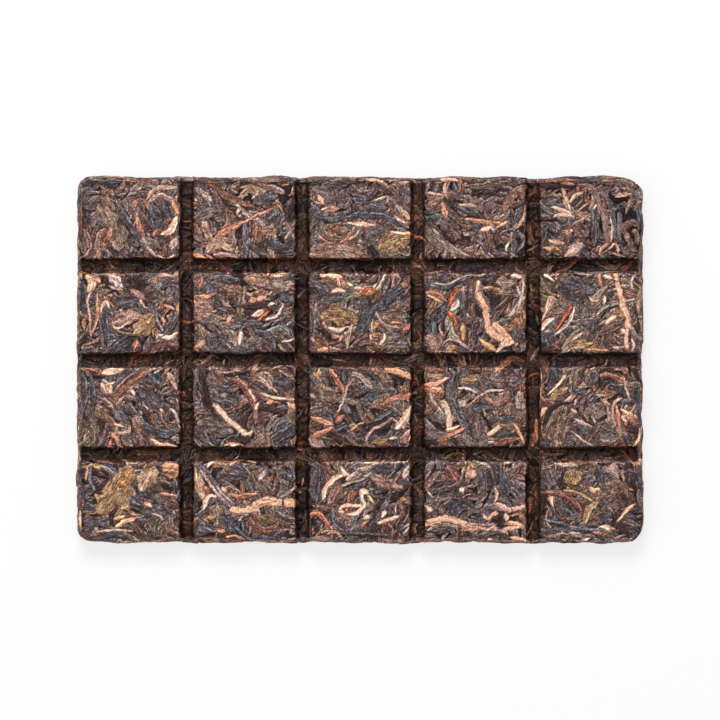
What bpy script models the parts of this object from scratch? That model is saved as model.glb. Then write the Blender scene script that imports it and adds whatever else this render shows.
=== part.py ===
"""A pressed pu-erh tea brick: one slab of compressed leaf, scored by grooves into break-off tiles.

The slab lies flat on its underside. X runs along its length, Y across it and Z up, with the
origin in the middle of the underside. All sizes are in metres.
"""

import math

import bmesh
import bpy
from mathutils import Vector, noise

# Driving dimensions of the slab.
LENGTH = 0.155
WIDTH = 0.100
THICKNESS = 0.008

# The score lines that divide it into tiles.
COLUMNS = 5
ROWS = 4
GROOVE_MOUTH = 0.0043
GROOVE_FLOOR = 0.0020
GROOVE_DEPTH = 0.0032
TILE_CORNER = 0.0009

# The slab's own edge: a drafted side between a soft upper and a softer lower edge.
SIDE_DRAFT = 0.0005
UPPER_EDGE = 0.0007
LOWER_EDGE = 0.0006
CORNER_RADII = {(-1, 1): 0.0022, (-1, -1): 0.0028, (1, -1): 0.0036, (1, 1): 0.0040}

# How uneven the pressing is. The back right corner is looser than the rest and stands a little higher.
TILE_DROP = 0.00010
FACE_WAVE = 0.00005
FACE_WAVE_LENGTH = 0.006
OUTLINE_WAVE = 0.00035
OUTLINE_WAVE_LENGTH = 0.009
LOOSE_RISE = 0.00035
LOOSE_CENTRE = Vector((0.070, 0.045))
LOOSE_REACH = 0.034

# How finely the top is divided, as shares of a tile, of a groove's wall and of the widest corner radius.
TILE_STEPS = (0.35, 0.65)
WALL_STEPS = (0.0, 0.35, 0.7, 1.0)
CORNER_STEPS = (0.2, 0.42, 0.68, 1.0)
EDGE_ARC_STEPS = 3

WALL_RUN = (GROOVE_MOUTH - GROOVE_FLOOR) / 2
EDGE_REACH = SIDE_DRAFT + UPPER_EDGE

LEAF_COLOUR = (0.150, 0.100, 0.078, 1.0)
LEAF_ROUGHNESS = 0.62
SMOOTH_ANGLE = math.radians(35)


def clear_scene():
    for obj in list(bpy.data.objects):
        bpy.data.objects.remove(obj, do_unlink=True)


def top_half(side):
    """Half the flat top's length along a side, inside the slab's rounded upper edge."""
    return side / 2 - EDGE_REACH


def tile_bounds(side, count):
    """The (low, high) ends of each tile along one axis. The outer tiles run on to the slab's drafted side."""
    tile = (side - 2 * SIDE_DRAFT - (count - 1) * GROOVE_MOUTH) / count
    pitch = tile + GROOVE_MOUTH
    first = SIDE_DRAFT - side / 2
    return [(first + i * pitch, first + i * pitch + tile) for i in range(count)]


def grid_lines(side, count):
    """Where the top is divided along one axis: within each tile, down each groove wall and at the slab's corners."""
    half = top_half(side)
    widest = max(CORNER_RADII.values())
    lines = [-half, half]
    lines += [sign * (half - step * widest) for step in CORNER_STEPS for sign in (-1, 1)]
    for i, (low, high) in enumerate(tile_bounds(side, count)):
        lines += [low + share * (high - low) for share in TILE_STEPS]
        if i > 0:
            lines += [low - step * WALL_RUN for step in WALL_STEPS] + [low + TILE_CORNER]
        if i < count - 1:
            lines += [high + step * WALL_RUN for step in WALL_STEPS] + [high - TILE_CORNER]
    return sorted(lines)


def past_corner(value, bounds, index):
    """How far a coordinate lies past a tile's corner centre, on the sides that have a groove."""
    low, high = bounds[index]
    below = low + TILE_CORNER - value if index > 0 else 0.0
    above = value - high + TILE_CORNER if index < len(bounds) - 1 else 0.0
    return max(below, above, 0.0)


def nearest_tile(value, bounds):
    return min(range(len(bounds)), key=lambda i: abs(value - sum(bounds[i]) / 2))


def groove_fall(share):
    """The share of the groove's depth reached at a share of its wall, with a rounded lip and foot."""
    t = min(max(share, 0.0), 1.0)
    return 0.5 * t + 0.5 * t * t * (3 - 2 * t)


def loose_rise(x, y):
    """How far the loosely pressed corner stands above the rest of the face."""
    away = (Vector((x, y)) - LOOSE_CENTRE).length / LOOSE_REACH
    return LOOSE_RISE * max(0.0, 1 - away * away) ** 2


def top_height(x, y):
    """The height of the pressed face at a point of the plan."""
    columns = tile_bounds(LENGTH, COLUMNS)
    rows = tile_bounds(WIDTH, ROWS)
    column = nearest_tile(x, columns)
    row = nearest_tile(y, rows)
    beyond = math.hypot(past_corner(x, columns, column), past_corner(y, rows, row)) - TILE_CORNER
    fall = groove_fall(beyond / WALL_RUN)
    drop = TILE_DROP * noise.cell(Vector((column, row, 0)))
    wave = FACE_WAVE * noise.noise(Vector((x, y, 0)) / FACE_WAVE_LENGTH)
    face = loose_rise(x, y) + wave - drop
    return THICKNESS - GROOVE_DEPTH * fall + face * (1 - fall)


def corner_of(x, y):
    """The plan corner that a point belongs to, as its arc's centre and the signs of its two axes."""
    side = Vector((1 if x > 0 else -1, 1 if y > 0 else -1))
    radius = CORNER_RADII[side.x, side.y]
    return Vector((side.x * (top_half(LENGTH) - radius), side.y * (top_half(WIDTH) - radius))), side


def in_outline(x, y):
    """A point of the square grid, drawn in so that the grid's corners follow the slab's round ones."""
    centre, side = corner_of(x, y)
    off = Vector((x, y)) - centre
    if off.x * side.x <= 0 or off.y * side.y <= 0:
        return Vector((x, y))
    return centre + off * (max(abs(off.x), abs(off.y)) / off.length)


def outward(point):
    """The outline's outward direction at a point on the rim of the top."""
    centre, side = corner_of(point.x, point.y)
    off = point - centre
    along_x = off.x * side.x > 0
    along_y = off.y * side.y > 0
    if along_x and along_y:
        return off.normalized()
    return Vector((side.x, 0)) if along_x else Vector((0, side.y))


def rim_profile(height):
    """(reach outwards, height) of each ring from the rim of the top, at this height, down to the underside."""
    angles = [math.pi / 2 * (i + 1) / EDGE_ARC_STEPS for i in range(EDGE_ARC_STEPS)]
    upper = [(UPPER_EDGE * math.sin(a), height - UPPER_EDGE * (1 - math.cos(a))) for a in angles]
    lower = [(EDGE_REACH - LOWER_EDGE * (1 - math.cos(a)), LOWER_EDGE * (1 - math.sin(a))) for a in angles]
    return upper + [(EDGE_REACH, LOWER_EDGE)] + lower


def wavy(point):
    """A point of the slab's edge, moved by the unevenness of the pressed side. The middle stays where it is."""
    shift = noise.noise_vector(point / OUTLINE_WAVE_LENGTH)
    inside = min(LENGTH / 2 - abs(point.x), WIDTH / 2 - abs(point.y))
    share = max(0.0, 1 - inside / (2 * EDGE_REACH))
    return point + Vector((shift.x, shift.y, 0)) * OUTLINE_WAVE * share


def lay_top(bm):
    """The pressed face, as a grid whose lines follow the tiles and grooves."""
    xs = grid_lines(LENGTH, COLUMNS)
    ys = grid_lines(WIDTH, ROWS)
    grid = bmesh.ops.create_grid(bm, x_segments=len(xs) - 1, y_segments=len(ys) - 1, size=1.0)
    for vert in grid["verts"]:
        column = round((vert.co.x + 1) / 2 * (len(xs) - 1))
        row = round((vert.co.y + 1) / 2 * (len(ys) - 1))
        place = in_outline(xs[column], ys[row])
        vert.co = Vector((place.x, place.y, top_height(place.x, place.y)))


def add_ring(bm, rim, ring, starts):
    """Extrudes the open rim by one ring of the edge's profile. starts gives each rim vertex its point on the top."""
    new = bmesh.ops.extrude_edge_only(bm, edges=rim)["geom"]
    made = {g for g in new if isinstance(g, bmesh.types.BMVert)}
    grown = {}
    for vert in made:
        above = next(e.other_vert(vert) for e in vert.link_edges if e.other_vert(vert) not in made)
        start = starts[above]
        reach, height = rim_profile(start.z)[ring]
        place = start.xy + outward(start.xy) * reach
        vert.co = Vector((place.x, place.y, height))
        grown[vert] = start
    edges = [g for g in new if isinstance(g, bmesh.types.BMEdge) and set(g.verts) <= made]
    return edges, grown


def fit_to_size(bm):
    """Brings the slab's box to the driving dimensions after the unevenness, with the origin under its middle."""
    low = Vector([min(v.co[k] for v in bm.verts) for k in range(3)])
    high = Vector([max(v.co[k] for v in bm.verts) for k in range(3)])
    for vert in bm.verts:
        share = [(vert.co[k] - low[k]) / (high[k] - low[k]) for k in range(3)]
        vert.co = Vector((LENGTH * (share[0] - 0.5), WIDTH * (share[1] - 0.5), THICKNESS * share[2]))


def build_slab():
    """The whole brick as one closed mesh."""
    bm = bmesh.new()
    lay_top(bm)
    rim = [e for e in bm.edges if e.is_boundary]
    starts = {v: v.co.copy() for e in rim for v in e.verts}
    for ring in range(len(rim_profile(THICKNESS))):
        rim, starts = add_ring(bm, rim, ring, starts)
    bmesh.ops.contextual_create(bm, geom=rim)
    for vert in bm.verts:
        vert.co = wavy(vert.co)
    fit_to_size(bm)
    bmesh.ops.recalc_face_normals(bm, faces=bm.faces)
    mesh = bpy.data.meshes.new("tea_brick")
    bm.to_mesh(mesh)
    bm.free()
    mesh.shade_smooth()
    mesh.set_sharp_from_angle(angle=SMOOTH_ANGLE)
    return mesh


def leaf_material():
    """Dark, dry, slightly shiny pressed leaf."""
    material = bpy.data.materials.new("pressed_leaf")
    material.use_nodes = True
    surface = material.node_tree.nodes["Principled BSDF"]
    surface.inputs["Base Color"].default_value = LEAF_COLOUR
    surface.inputs["Roughness"].default_value = LEAF_ROUGHNESS
    surface.inputs["Metallic"].default_value = 0.0
    return material


def main():
    clear_scene()
    collection = bpy.data.collections.new("pu_erh_tea_brick")
    bpy.context.scene.collection.children.link(collection)
    brick = bpy.data.objects.new("tea_brick", build_slab())
    brick.data.materials.append(leaf_material())
    collection.objects.link(brick)


main()
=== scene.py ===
"""The looks of a pressed pu-erh tea brick.

Thousands of tea leaves are laid, one over another, on a flattened plan of the brick's surface: its
tiles, the walls and floors of its grooves, and its sides. Each leaf leaves its relief, colour and
grain there, as if it had been pressed into the mould. The plan is then folded over the mould's shape
and becomes the brick's skin. Loose leaves are laid on top, in a mesh of their own.

Lengths inside this script are in millimetres, and meshes are made in metres.
"""

import math
from dataclasses import dataclass

import bpy
import numpy as np
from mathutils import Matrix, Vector


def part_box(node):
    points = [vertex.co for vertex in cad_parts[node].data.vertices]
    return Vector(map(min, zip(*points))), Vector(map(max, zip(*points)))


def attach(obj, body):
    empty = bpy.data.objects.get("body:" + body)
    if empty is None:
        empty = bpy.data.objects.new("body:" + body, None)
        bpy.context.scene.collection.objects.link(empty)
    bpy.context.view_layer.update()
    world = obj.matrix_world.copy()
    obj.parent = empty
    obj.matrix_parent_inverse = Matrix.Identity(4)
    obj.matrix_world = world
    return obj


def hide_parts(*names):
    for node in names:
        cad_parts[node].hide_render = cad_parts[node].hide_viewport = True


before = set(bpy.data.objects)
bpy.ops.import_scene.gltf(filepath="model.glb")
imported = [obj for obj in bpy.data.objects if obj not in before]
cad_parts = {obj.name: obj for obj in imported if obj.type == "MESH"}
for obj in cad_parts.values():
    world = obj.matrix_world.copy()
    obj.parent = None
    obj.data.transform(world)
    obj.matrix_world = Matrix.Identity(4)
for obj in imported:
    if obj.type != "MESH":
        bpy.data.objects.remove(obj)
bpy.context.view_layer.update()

MM = 0.001
SEED = 20
NODE = "tea_brick"

# The mould, as the CAD has it.
BOX_LOW, BOX_HIGH = [np.array(corner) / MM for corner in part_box(NODE)]
LENGTH, WIDTH, THICKNESS = BOX_HIGH - BOX_LOW
COLUMNS, ROWS = 5, 4
GROOVE_MOUTH = 4.3
GROOVE_FLOOR = 2.0
GROOVE_DEPTH = 3.2
TILE_CORNER = 0.9
SIDE_DRAFT = 0.5
UPPER_EDGE = 0.7
LOWER_EDGE = 0.6
CORNER_RADII = {(-1, 1): 2.2, (-1, -1): 2.8, (1, -1): 3.6, (1, 1): 4.0}
LOOSE_RISE = 0.35
LOOSE_CENTRE = (70.0, 45.0)
LOOSE_REACH = 34.0
LOOSE_SWELL = 0.75        # how far leaf bulges out of the back edge there, and where
LOOSE_SWELL_X = 66.5
LOOSE_SWELL_REACH = 5.5
EDGE_REACH = SIDE_DRAFT + UPPER_EDGE
WALL_RUN = (GROOVE_MOUTH - GROOVE_FLOOR) / 2
WALL_LENGTH = math.hypot(WALL_RUN, GROOVE_DEPTH)

# The flattened plan: the size of its cells, and the flap around it that folds down over the sides.
CELL = 0.1
FLAP = 11.0

# The skin's mesh: steps along a tile, a groove wall and a groove floor, and rings down the side.
TILE_STEPS_X, TILE_STEPS_Y = 116, 90
WALL_STEPS, FLOOR_STEPS = 9, 10
SIDE_RINGS = 27
EDGE_RINGS = 6


# ---------------------------------------------------------------- leaf colours

def linear(red, green, blue):
    """A display colour, 0 to 255, as linear light."""
    c = np.array([red, green, blue]) / 255
    return np.where(c <= 0.04045, c / 12.92, ((c + 0.055) / 1.055) ** 2.4)


COLOURS = {
    "slate": linear(83, 80, 86),
    "blue": linear(75, 78, 87),
    "umber": linear(93, 77, 73),
    "dark": linear(60, 50, 48),
    # painted shade for the deepest gaps between leaves, and under the loose leaves in the corner
    "black": linear(32, 26, 25),
    "grey": linear(98, 89, 87),
    "mauve": linear(96, 85, 87),
    "brown": linear(117, 92, 80),
    "rust": linear(115, 84, 73),
    "red": linear(111, 77, 74),
    "olive": linear(110, 96, 84),
    "taupe": linear(129, 115, 107),
    "tan": linear(157, 133, 117),
    "pink": linear(150, 125, 119),
    "orange": linear(155, 117, 98),
    "peach": linear(197, 161, 141),
    "cream": linear(195, 168, 152),
    "mustard": linear(137, 114, 88),
    "white": linear(163, 146, 143),
    "clay": linear(128, 104, 95),
    "vivid": linear(133, 76, 49),
    "salmon": linear(151, 105, 90),
    "amber": linear(160, 125, 92),
    "apricot": linear(194, 146, 121),
}
SKIN_SHADE = np.array([0.93, 0.83, 0.76])    # a leaf's own colour against its colour in the light
TONE_TINT = np.array([0.82, 1.06, 1.12])     # its crevices are redder than it is, its pale streaks less red
COLOUR_STRAY = (0.065, 0.025, 0.045)         # how far leaves of one colour differ in red, green and blue

# How often each kind of leaf has each colour.
BROAD = {"slate": 22, "blue": 6, "umber": 18, "dark": 7, "grey": 18, "mauve": 12, "brown": 12, "olive": 4,
         "taupe": 4}
PLAIN = {"slate": 19, "blue": 6, "umber": 17, "dark": 7, "grey": 17, "mauve": 11, "brown": 11, "olive": 3,
         "taupe": 6, "rust": 4, "red": 3, "pink": 2, "tan": 1}
WARM = {"brown": 6, "rust": 6, "red": 4, "tan": 4, "pink": 4, "orange": 2, "olive": 2, "taupe": 4,
        "peach": 0.5}
PALE = {"tan": 5, "cream": 3, "peach": 3, "pink": 4, "orange": 2, "white": 3, "taupe": 3, "mustard": 1}


def pick(rng, palette, spread=0.15):
    """A leaf's colour: one of the palette's, a little lighter or darker and a little off in hue."""
    names = list(palette)
    weights = np.array([palette[n] for n in names], float)
    colour = COLOURS[names[rng.choice(len(names), p=weights / weights.sum())]]
    return colour * math.exp(rng.normal(0, spread)) * (1 + rng.normal(0, COLOUR_STRAY))


# ---------------------------------------------------------------- noise and blur

def smooth(t):
    """An even ease from 0 to 1."""
    t = np.clip(t, 0, 1)
    return t * t * (3 - 2 * t)


class Noise:
    """Smooth noise from -1 to 1, with one bump to each unit of x and y."""

    SIZE = 256

    def __init__(self, rng):
        self.table = rng.uniform(-1, 1, (self.SIZE, self.SIZE)).astype(np.float32)

    def __call__(self, x, y):
        x, y = np.broadcast_arrays(np.asarray(x, np.float32), np.asarray(y, np.float32))
        column, row = np.floor(x).astype(np.int32), np.floor(y).astype(np.int32)
        across, up = smooth(x - column), smooth(y - row)
        left, right = column % self.SIZE, (column + 1) % self.SIZE
        low, high = row % self.SIZE, (row + 1) % self.SIZE
        bottom = self.table[low, left] * (1 - across) + self.table[low, right] * across
        top = self.table[high, left] * (1 - across) + self.table[high, right] * across
        return bottom * (1 - up) + top * up


def box_blur(field, reach):
    """The mean over a square reaching so many cells each way."""
    for axis in (0, 1):
        count = field.shape[axis]
        pad = [(reach + 1, reach) if k == axis else (0, 0) for k in range(field.ndim)]
        total = np.cumsum(np.pad(field, pad, mode="edge"), axis=axis, dtype=np.float64)
        ends = np.take(total, np.arange(2 * reach + 1, 2 * reach + 1 + count), axis=axis)
        starts = np.take(total, np.arange(count), axis=axis)
        field = ((ends - starts) / (2 * reach + 1)).astype(np.float32)
    return field


def blur(field, millimetres):
    """A soft blur: two box blurs that reach this far each."""
    reach = max(1, round(millimetres / CELL))
    return box_blur(box_blur(field, reach), reach)


# ---------------------------------------------------------------- the mould

def tile_bounds(side, count):
    """The (low, high) ends of each tile along one axis. The outer tiles run on to the brick's side."""
    tile = (side - 2 * SIDE_DRAFT - (count - 1) * GROOVE_MOUTH) / count
    pitch = tile + GROOVE_MOUTH
    first = SIDE_DRAFT - side / 2
    return [(first + i * pitch, first + i * pitch + tile) for i in range(count)]


COLUMN_BOUNDS = tile_bounds(LENGTH, COLUMNS)
ROW_BOUNDS = tile_bounds(WIDTH, ROWS)


def top_half(side):
    """Half the flat top's length along a side, inside the rounded upper edge."""
    return side / 2 - EDGE_REACH


def unfolding(side, bounds):
    """Matching places along one axis, on the brick and on the plan, where walls lie at full length."""
    half = top_half(side)
    place, flat = [-half], [FLAP]
    for _, high in bounds[:-1]:
        flat.append(flat[-1] + high - place[-1])
        place.append(high)
        for run, length in ((WALL_RUN, WALL_LENGTH), (GROOVE_FLOOR, GROOVE_FLOOR), (WALL_RUN, WALL_LENGTH)):
            place.append(place[-1] + run)
            flat.append(flat[-1] + length)
    flat.append(flat[-1] + half - place[-1])
    place.append(half)
    return np.array(place), np.array(flat)


PLACE_X, FLAT_X = unfolding(LENGTH, COLUMN_BOUNDS)
PLACE_Y, FLAT_Y = unfolding(WIDTH, ROW_BOUNDS)
PLAN_SIZE = (FLAT_X[-1] + FLAP, FLAT_Y[-1] + FLAP)


def to_plan(x, y):
    """Where a point of the brick's top lies on the flattened plan. Points past the top lie on the flap."""
    over_x = x - np.clip(x, PLACE_X[0], PLACE_X[-1])
    over_y = y - np.clip(y, PLACE_Y[0], PLACE_Y[-1])
    return np.interp(x, PLACE_X, FLAT_X) + over_x, np.interp(y, PLACE_Y, FLAT_Y) + over_y


def tile_point(column, row, x, y):
    """A point given from a tile's middle, on the plan. Columns count from the left and rows from the back."""
    middle_x = sum(COLUMN_BOUNDS[column - 1]) / 2
    middle_y = sum(ROW_BOUNDS[ROWS - row]) / 2
    return to_plan(middle_x + x, middle_y + y)


def past_corners(values, bounds):
    """How far each coordinate lies past its tile's corner centres, on the sides that have a groove.

    It is negative past the low end, positive past the high one and 0 between them.
    """
    middles = np.array([(low + high) / 2 for low, high in bounds])
    nearest = np.abs(values[:, None] - middles).argmin(1)
    lows = np.array([b[0] for b in bounds])
    highs = np.array([b[1] for b in bounds])
    lows[0] = -np.inf
    highs[-1] = np.inf
    below = lows[nearest] + TILE_CORNER - values
    above = values - highs[nearest] + TILE_CORNER
    return np.maximum(above, 0) - np.maximum(below, 0)


def groove_fall(share):
    """The share of the groove's depth reached at a share of its wall, with a rounded lip and foot."""
    t = np.clip(share, 0, 1)
    return 0.5 * t + 0.5 * smooth(t)


def looseness(x, y):
    """1 in the loosely pressed back right corner, falling to 0 away from it."""
    away = ((x - LOOSE_CENTRE[0]) ** 2 + (y - LOOSE_CENTRE[1]) ** 2) / LOOSE_REACH ** 2
    return np.maximum(0, 1 - away) ** 2


# ---------------------------------------------------------------- laying leaves on the plan

def ends_round(s, share):
    """A width that stays even and rounds off over this share at each end."""
    return np.sqrt(np.clip(np.minimum(s, 1 - s) / share, 0.08, 1))


# How wide each kind of leaf is along its length, as a share of its width.
OUTLINES = {
    "strip": lambda s: np.sin(math.pi * np.clip(s, 0.02, 0.98)) ** 0.4,
    "lens": lambda s: np.sin(math.pi * np.clip(s, 0.01, 0.99)) ** 0.85,
    "blob": lambda s: np.sqrt(np.clip(1 - (2 * s - 1) ** 2, 0.02, 1)),
    "stem": lambda s: ends_round(s, 0.05),
    "club": lambda s: ends_round(s, 0.06) * (0.45 + 0.7 * s),
    "taper": lambda s: np.sqrt(np.clip(s / 0.06, 0.08, 1)) * np.clip(1 - s, 0.02, 1) ** 0.8,
    "hair": lambda s: np.clip(np.minimum(s, 1 - s) / 0.3, 0.15, 1),
}


@dataclass
class Look:
    """How a kind of leaf looks where it is pressed in. Heights are in millimetres, the rest are shares."""

    outline: str = "strip"
    bulge: float = 0.15     # how far its edges lie below its middle
    veins: float = 0.0      # how strongly its ribs stand out
    edge: float = 0.0       # how strong the painted highlight along one edge is. The sign says which
    crease: float = None    # where across it is folded, from -1 to 1
    wrinkle: float = 0.07   # the height of its lengthwise wrinkles
    streak: float = 0.34    # how far they vary its colour: fibre streaks, with a painted highlight on their ridges and painted shade between them
    mottle: float = 0.22    # how far blotches vary its colour
    ragged: float = 0.42    # how uneven its edges are
    shade: float = 0.5      # how much painted shade darkens the crevice along its edges
    sink: float = 0.0       # how much deeper than the leaves around it it lies


class Plan:
    """The flattened surface, as a grid of cells: relief, colour, and each cell's place within its leaf."""

    GRAIN = 1024       # the grain pictures' side, in samples
    ALONG = 0.1        # millimetres to a sample along a leaf
    ACROSS = 0.04      # and across it
    GROUND = -0.45     # how high the surface is where no leaf lies
    TONES = (0.16, 2.4)    # the darkest and the lightest that a leaf gets, against its own colour

    def __init__(self, size, rng):
        self.rng = rng
        self.noise = Noise(rng)
        self.size = size
        self.columns, self.rows = int(size[0] / CELL), int(size[1] / CELL)
        cells = self.columns * self.rows
        self.height = np.full(cells, self.GROUND, np.float32)
        self.colour = np.tile(COLOURS["dark"].astype(np.float32), (cells, 1))
        self.grain = np.zeros((cells, 3), np.float32)
        self.laid = 0
        u, v = np.meshgrid(np.arange(self.GRAIN), np.arange(self.GRAIN), indexing="ij")
        self.fibres = self.fibre_picture(u * self.ALONG, v * self.ACROSS)
        self.blotches = self.blotch_picture(u * self.ALONG, v * self.ALONG)

    def fibre_picture(self, along, across):
        """Lengthwise fibres of three sizes."""
        return (0.55 * self.noise(along / 3.0, across / 0.42)
                + 0.35 * self.noise(along / 5 + 31, across + 17)
                + 0.35 * self.noise(along / 1.2 + 9, across / 0.17 + 60))

    def blotch_picture(self, along, across):
        """Round blotches of two sizes."""
        return (0.6 * self.noise(along / 1.5, across / 1.5)
                + 0.4 * self.noise(along / 0.6, across / 0.6 + 9))

    def field(self, name):
        """One of the plan's fields as a picture, rows first."""
        values = getattr(self, name)
        return values.reshape(self.rows, self.columns, *values.shape[1:])

    def lay(self, spine, width, colour, look, depth=0.0):
        """Presses one leaf in over whatever lies there, its middle at this depth below the mould's face."""
        leaf = Leaf(self, spine, width, look)
        column, row = (leaf.x / CELL).astype(np.int32), (leaf.y / CELL).astype(np.int32)
        inside = (leaf.x >= 0) & (leaf.y >= 0) & (column < self.columns) & (row < self.rows)
        if not inside.any():
            return
        height, tone = leaf.pressed(depth)
        self.laid += 1
        cell = (row * self.columns + column)[inside]
        self.height[cell] = height[inside]
        self.colour[cell] = np.clip(tone, *self.TONES)[inside][:, None] ** TONE_TINT * colour
        self.grain[cell, 0] = leaf.along[inside]
        self.grain[cell, 1] = leaf.off[inside]
        self.grain[cell, 2] = self.laid


class Leaf:
    """A leaf spread over the plan as a fine grid of points: rows lie across it, columns run along it."""

    STEP = 0.07          # how far apart its rows are
    FINENESS = 1.7       # columns to each cell of its width
    WAVE = 0.22          # how far its middle strays from its spine
    CREVICE = 0.24       # how wide the crevice along its edges is
    CREVICE_SHARE = 0.35    # and at most, as a share of its half width
    CREVICE_DEPTH = 0.22
    BULGE_POWER = 2.6    # a higher one keeps it flat further out
    LUMPS = 0.06         # how high its blotches stand
    RIB = 0.16           # how wide its middle rib is
    RIB_RISE, VEIN_RISE = 0.09, 0.08    # how high the rib and the side veins stand
    RIB_GAIN, VEIN_GAIN = 0.22, 0.28    # and how much paler they are
    VEIN_SLANT = 1.1     # how far its side veins run back as they run out
    VEIN_PITCH = 0.9     # how closely they follow each other
    PALE_PLACE, PALE_WIDTH = 1.3, 0.7   # where a raised edge with a painted highlight lies and how wide it is, in crevice widths
    # How high that edge stands, and how strong its painted highlight is.
    PALE_RISE, PALE_GAIN = 0.05, 1.6
    FOLD = 0.16          # how wide a crease is, as a share of its half width
    # How deep a crease is, and how much painted shade darkens it.
    FOLD_DEPTH, FOLD_SHADE = 0.09, 0.35
    END = 0.8            # how far from its ends it starts to dip
    END_DIP = 0.8        # and how far they dip, as a share of its bulge

    def __init__(self, plan, spine, width, look):
        self.plan, self.look = plan, look
        spine = resample(spine, self.STEP)
        s = np.linspace(0, 1, len(spine))
        length = np.hypot(*np.diff(spine, axis=0).T).sum()
        tangent = np.gradient(spine, axis=0)
        tangent /= np.maximum(np.hypot(*tangent.T), 1e-9)[:, None]
        self.start = plan.rng.integers(0, plan.GRAIN, 6)
        self.step = (s * length / plan.ALONG).astype(np.int32)
        left = 1 + look.ragged * self.unevenness(0, 1)
        right = 1 + look.ragged * self.unevenness(2, 3)
        sideways = np.stack([-tangent[:, 1], tangent[:, 0]], 1)
        spine = spine + sideways * (self.WAVE * self.unevenness(5, 0))[:, None]
        half = width / 2 * OUTLINES[look.outline](s)
        self.v = np.linspace(-1, 1, max(3, int(width / CELL * self.FINENESS)))[None, :]
        self.reach = np.where(self.v > 0, (half * left)[:, None], (half * right)[:, None])
        self.off = self.v * self.reach
        self.x = spine[:, :1] - tangent[:, 1:] * self.off
        self.y = spine[:, 1:] + tangent[:, :1] * self.off
        self.along = (s * length)[:, None] + 0 * self.v
        self.from_end = (np.minimum(s, 1 - s) * length)[:, None]

    def unevenness(self, along, across):
        """A line of the blotch picture, from two of the leaf's random starts."""
        picture = self.plan.blotches
        return picture[(self.step + self.start[along]) % len(picture), self.start[across]]

    def grain_of(self, picture, fineness, along, across):
        """The part of a grain picture that falls on the leaf, from two of its random starts."""
        column = (self.off / fineness).astype(np.int32) + self.start[across]
        return picture[(self.step[:, None] + self.start[along]) % len(picture), column % len(picture)]

    def pressed(self, depth):
        """Each point's height in the mould, and how light it is against the leaf's own colour."""
        look = self.look
        fibre = self.grain_of(self.plan.fibres, self.plan.ACROSS, 4, 5)
        blotch = self.grain_of(self.plan.blotches, self.plan.ALONG, 1, 4)
        crevice = np.minimum(self.CREVICE, self.CREVICE_SHARE * self.reach + 0.01)
        # The crevice along its edges is lower, and it is painted darker as shade.
        brink = look.shade * (1 - smooth((self.reach - np.abs(self.off)) / crevice))
        bulge = look.bulge * np.abs(self.v) ** self.BULGE_POWER
        height = -depth - look.sink - bulge + look.wrinkle * fibre + self.LUMPS * blotch
        height = height - self.CREVICE_DEPTH * brink
        # Fibres lighten it on its wrinkles' ridges and darken it between them: streaks, and painted highlight
        # and shade.
        tone = (1 + look.streak * fibre + look.mottle * blotch) * (1 - brink)
        if look.veins:
            height, tone = self.with_veins(height, tone)
        if look.edge:
            height, tone = self.with_highlit_edge(height, tone)
        if look.crease is not None:
            height, tone = self.with_crease(height, tone)
        dip = self.END_DIP * look.bulge * (1 - smooth(self.from_end / self.END))
        return height - dip, tone

    def with_veins(self, height, tone):
        """A rib along the middle, and veins that run out from it on both sides."""
        strength, start, picture = self.look.veins, self.start, self.plan.blotches
        rib = np.exp(-(self.off / self.RIB) ** 2)
        slanted = (self.along - self.VEIN_SLANT * np.abs(self.off)) * self.VEIN_PITCH / self.plan.ALONG
        own_side = start[3] + (self.off > 0) * 40
        veins = picture[(slanted.astype(np.int32) + start[2]) % len(picture), own_side % len(picture)]
        return (height + strength * (self.RIB_RISE * rib + self.VEIN_RISE * veins),
                tone * (1 + strength * (self.RIB_GAIN * rib + self.VEIN_GAIN * veins)))

    def with_highlit_edge(self, height, tone):
        """A raised line just inside the crevice, along one side, with a painted highlight on it."""
        edge = self.look.edge
        within = (self.reach - np.abs(self.off)) / self.CREVICE
        pale = np.exp(-((within - self.PALE_PLACE) / self.PALE_WIDTH) ** 2) * (self.v * edge > 0)
        return height + self.PALE_RISE * pale, tone * (1 + self.PALE_GAIN * abs(edge) * pale)

    def with_crease(self, height, tone):
        """A sunken fold along it, darkened with painted shade."""
        fold = np.exp(-((self.v - self.look.crease) / self.FOLD) ** 2)
        return height - self.FOLD_DEPTH * fold, tone * (1 - self.FOLD_SHADE * fold)


def distances(line):
    """How far along a line each of its points lies."""
    return np.r_[0, np.cumsum(np.hypot(*np.diff(line, axis=0).T))]


def resample(spine, step):
    """The same spine with its points this far apart."""
    along = distances(spine)
    even = np.linspace(0, along[-1], max(6, int(along[-1] / step)))
    return np.stack([np.interp(even, along, spine[:, 0]), np.interp(even, along, spine[:, 1])], 1)


def curve_through(points, per_span=12):
    """A smooth curve through the points."""
    p = np.array(points, float)
    if len(p) == 2:
        return np.linspace(p[0], p[1], per_span)
    along = distances(p)
    slope = np.gradient(p, along, axis=0)
    t = np.linspace(0, along[-1], per_span * (len(p) - 1))
    k = np.clip(np.searchsorted(along, t, side="right") - 1, 0, len(p) - 2)
    span = (along[k + 1] - along[k])[:, None]
    u = (t - along[k])[:, None] / span
    start = (2 * u ** 3 - 3 * u ** 2 + 1) * p[k] + (u ** 3 - 2 * u ** 2 + u) * span * slope[k]
    return start + (3 * u ** 2 - 2 * u ** 3) * p[k + 1] + (u ** 3 - u ** 2) * span * slope[k + 1]


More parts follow.
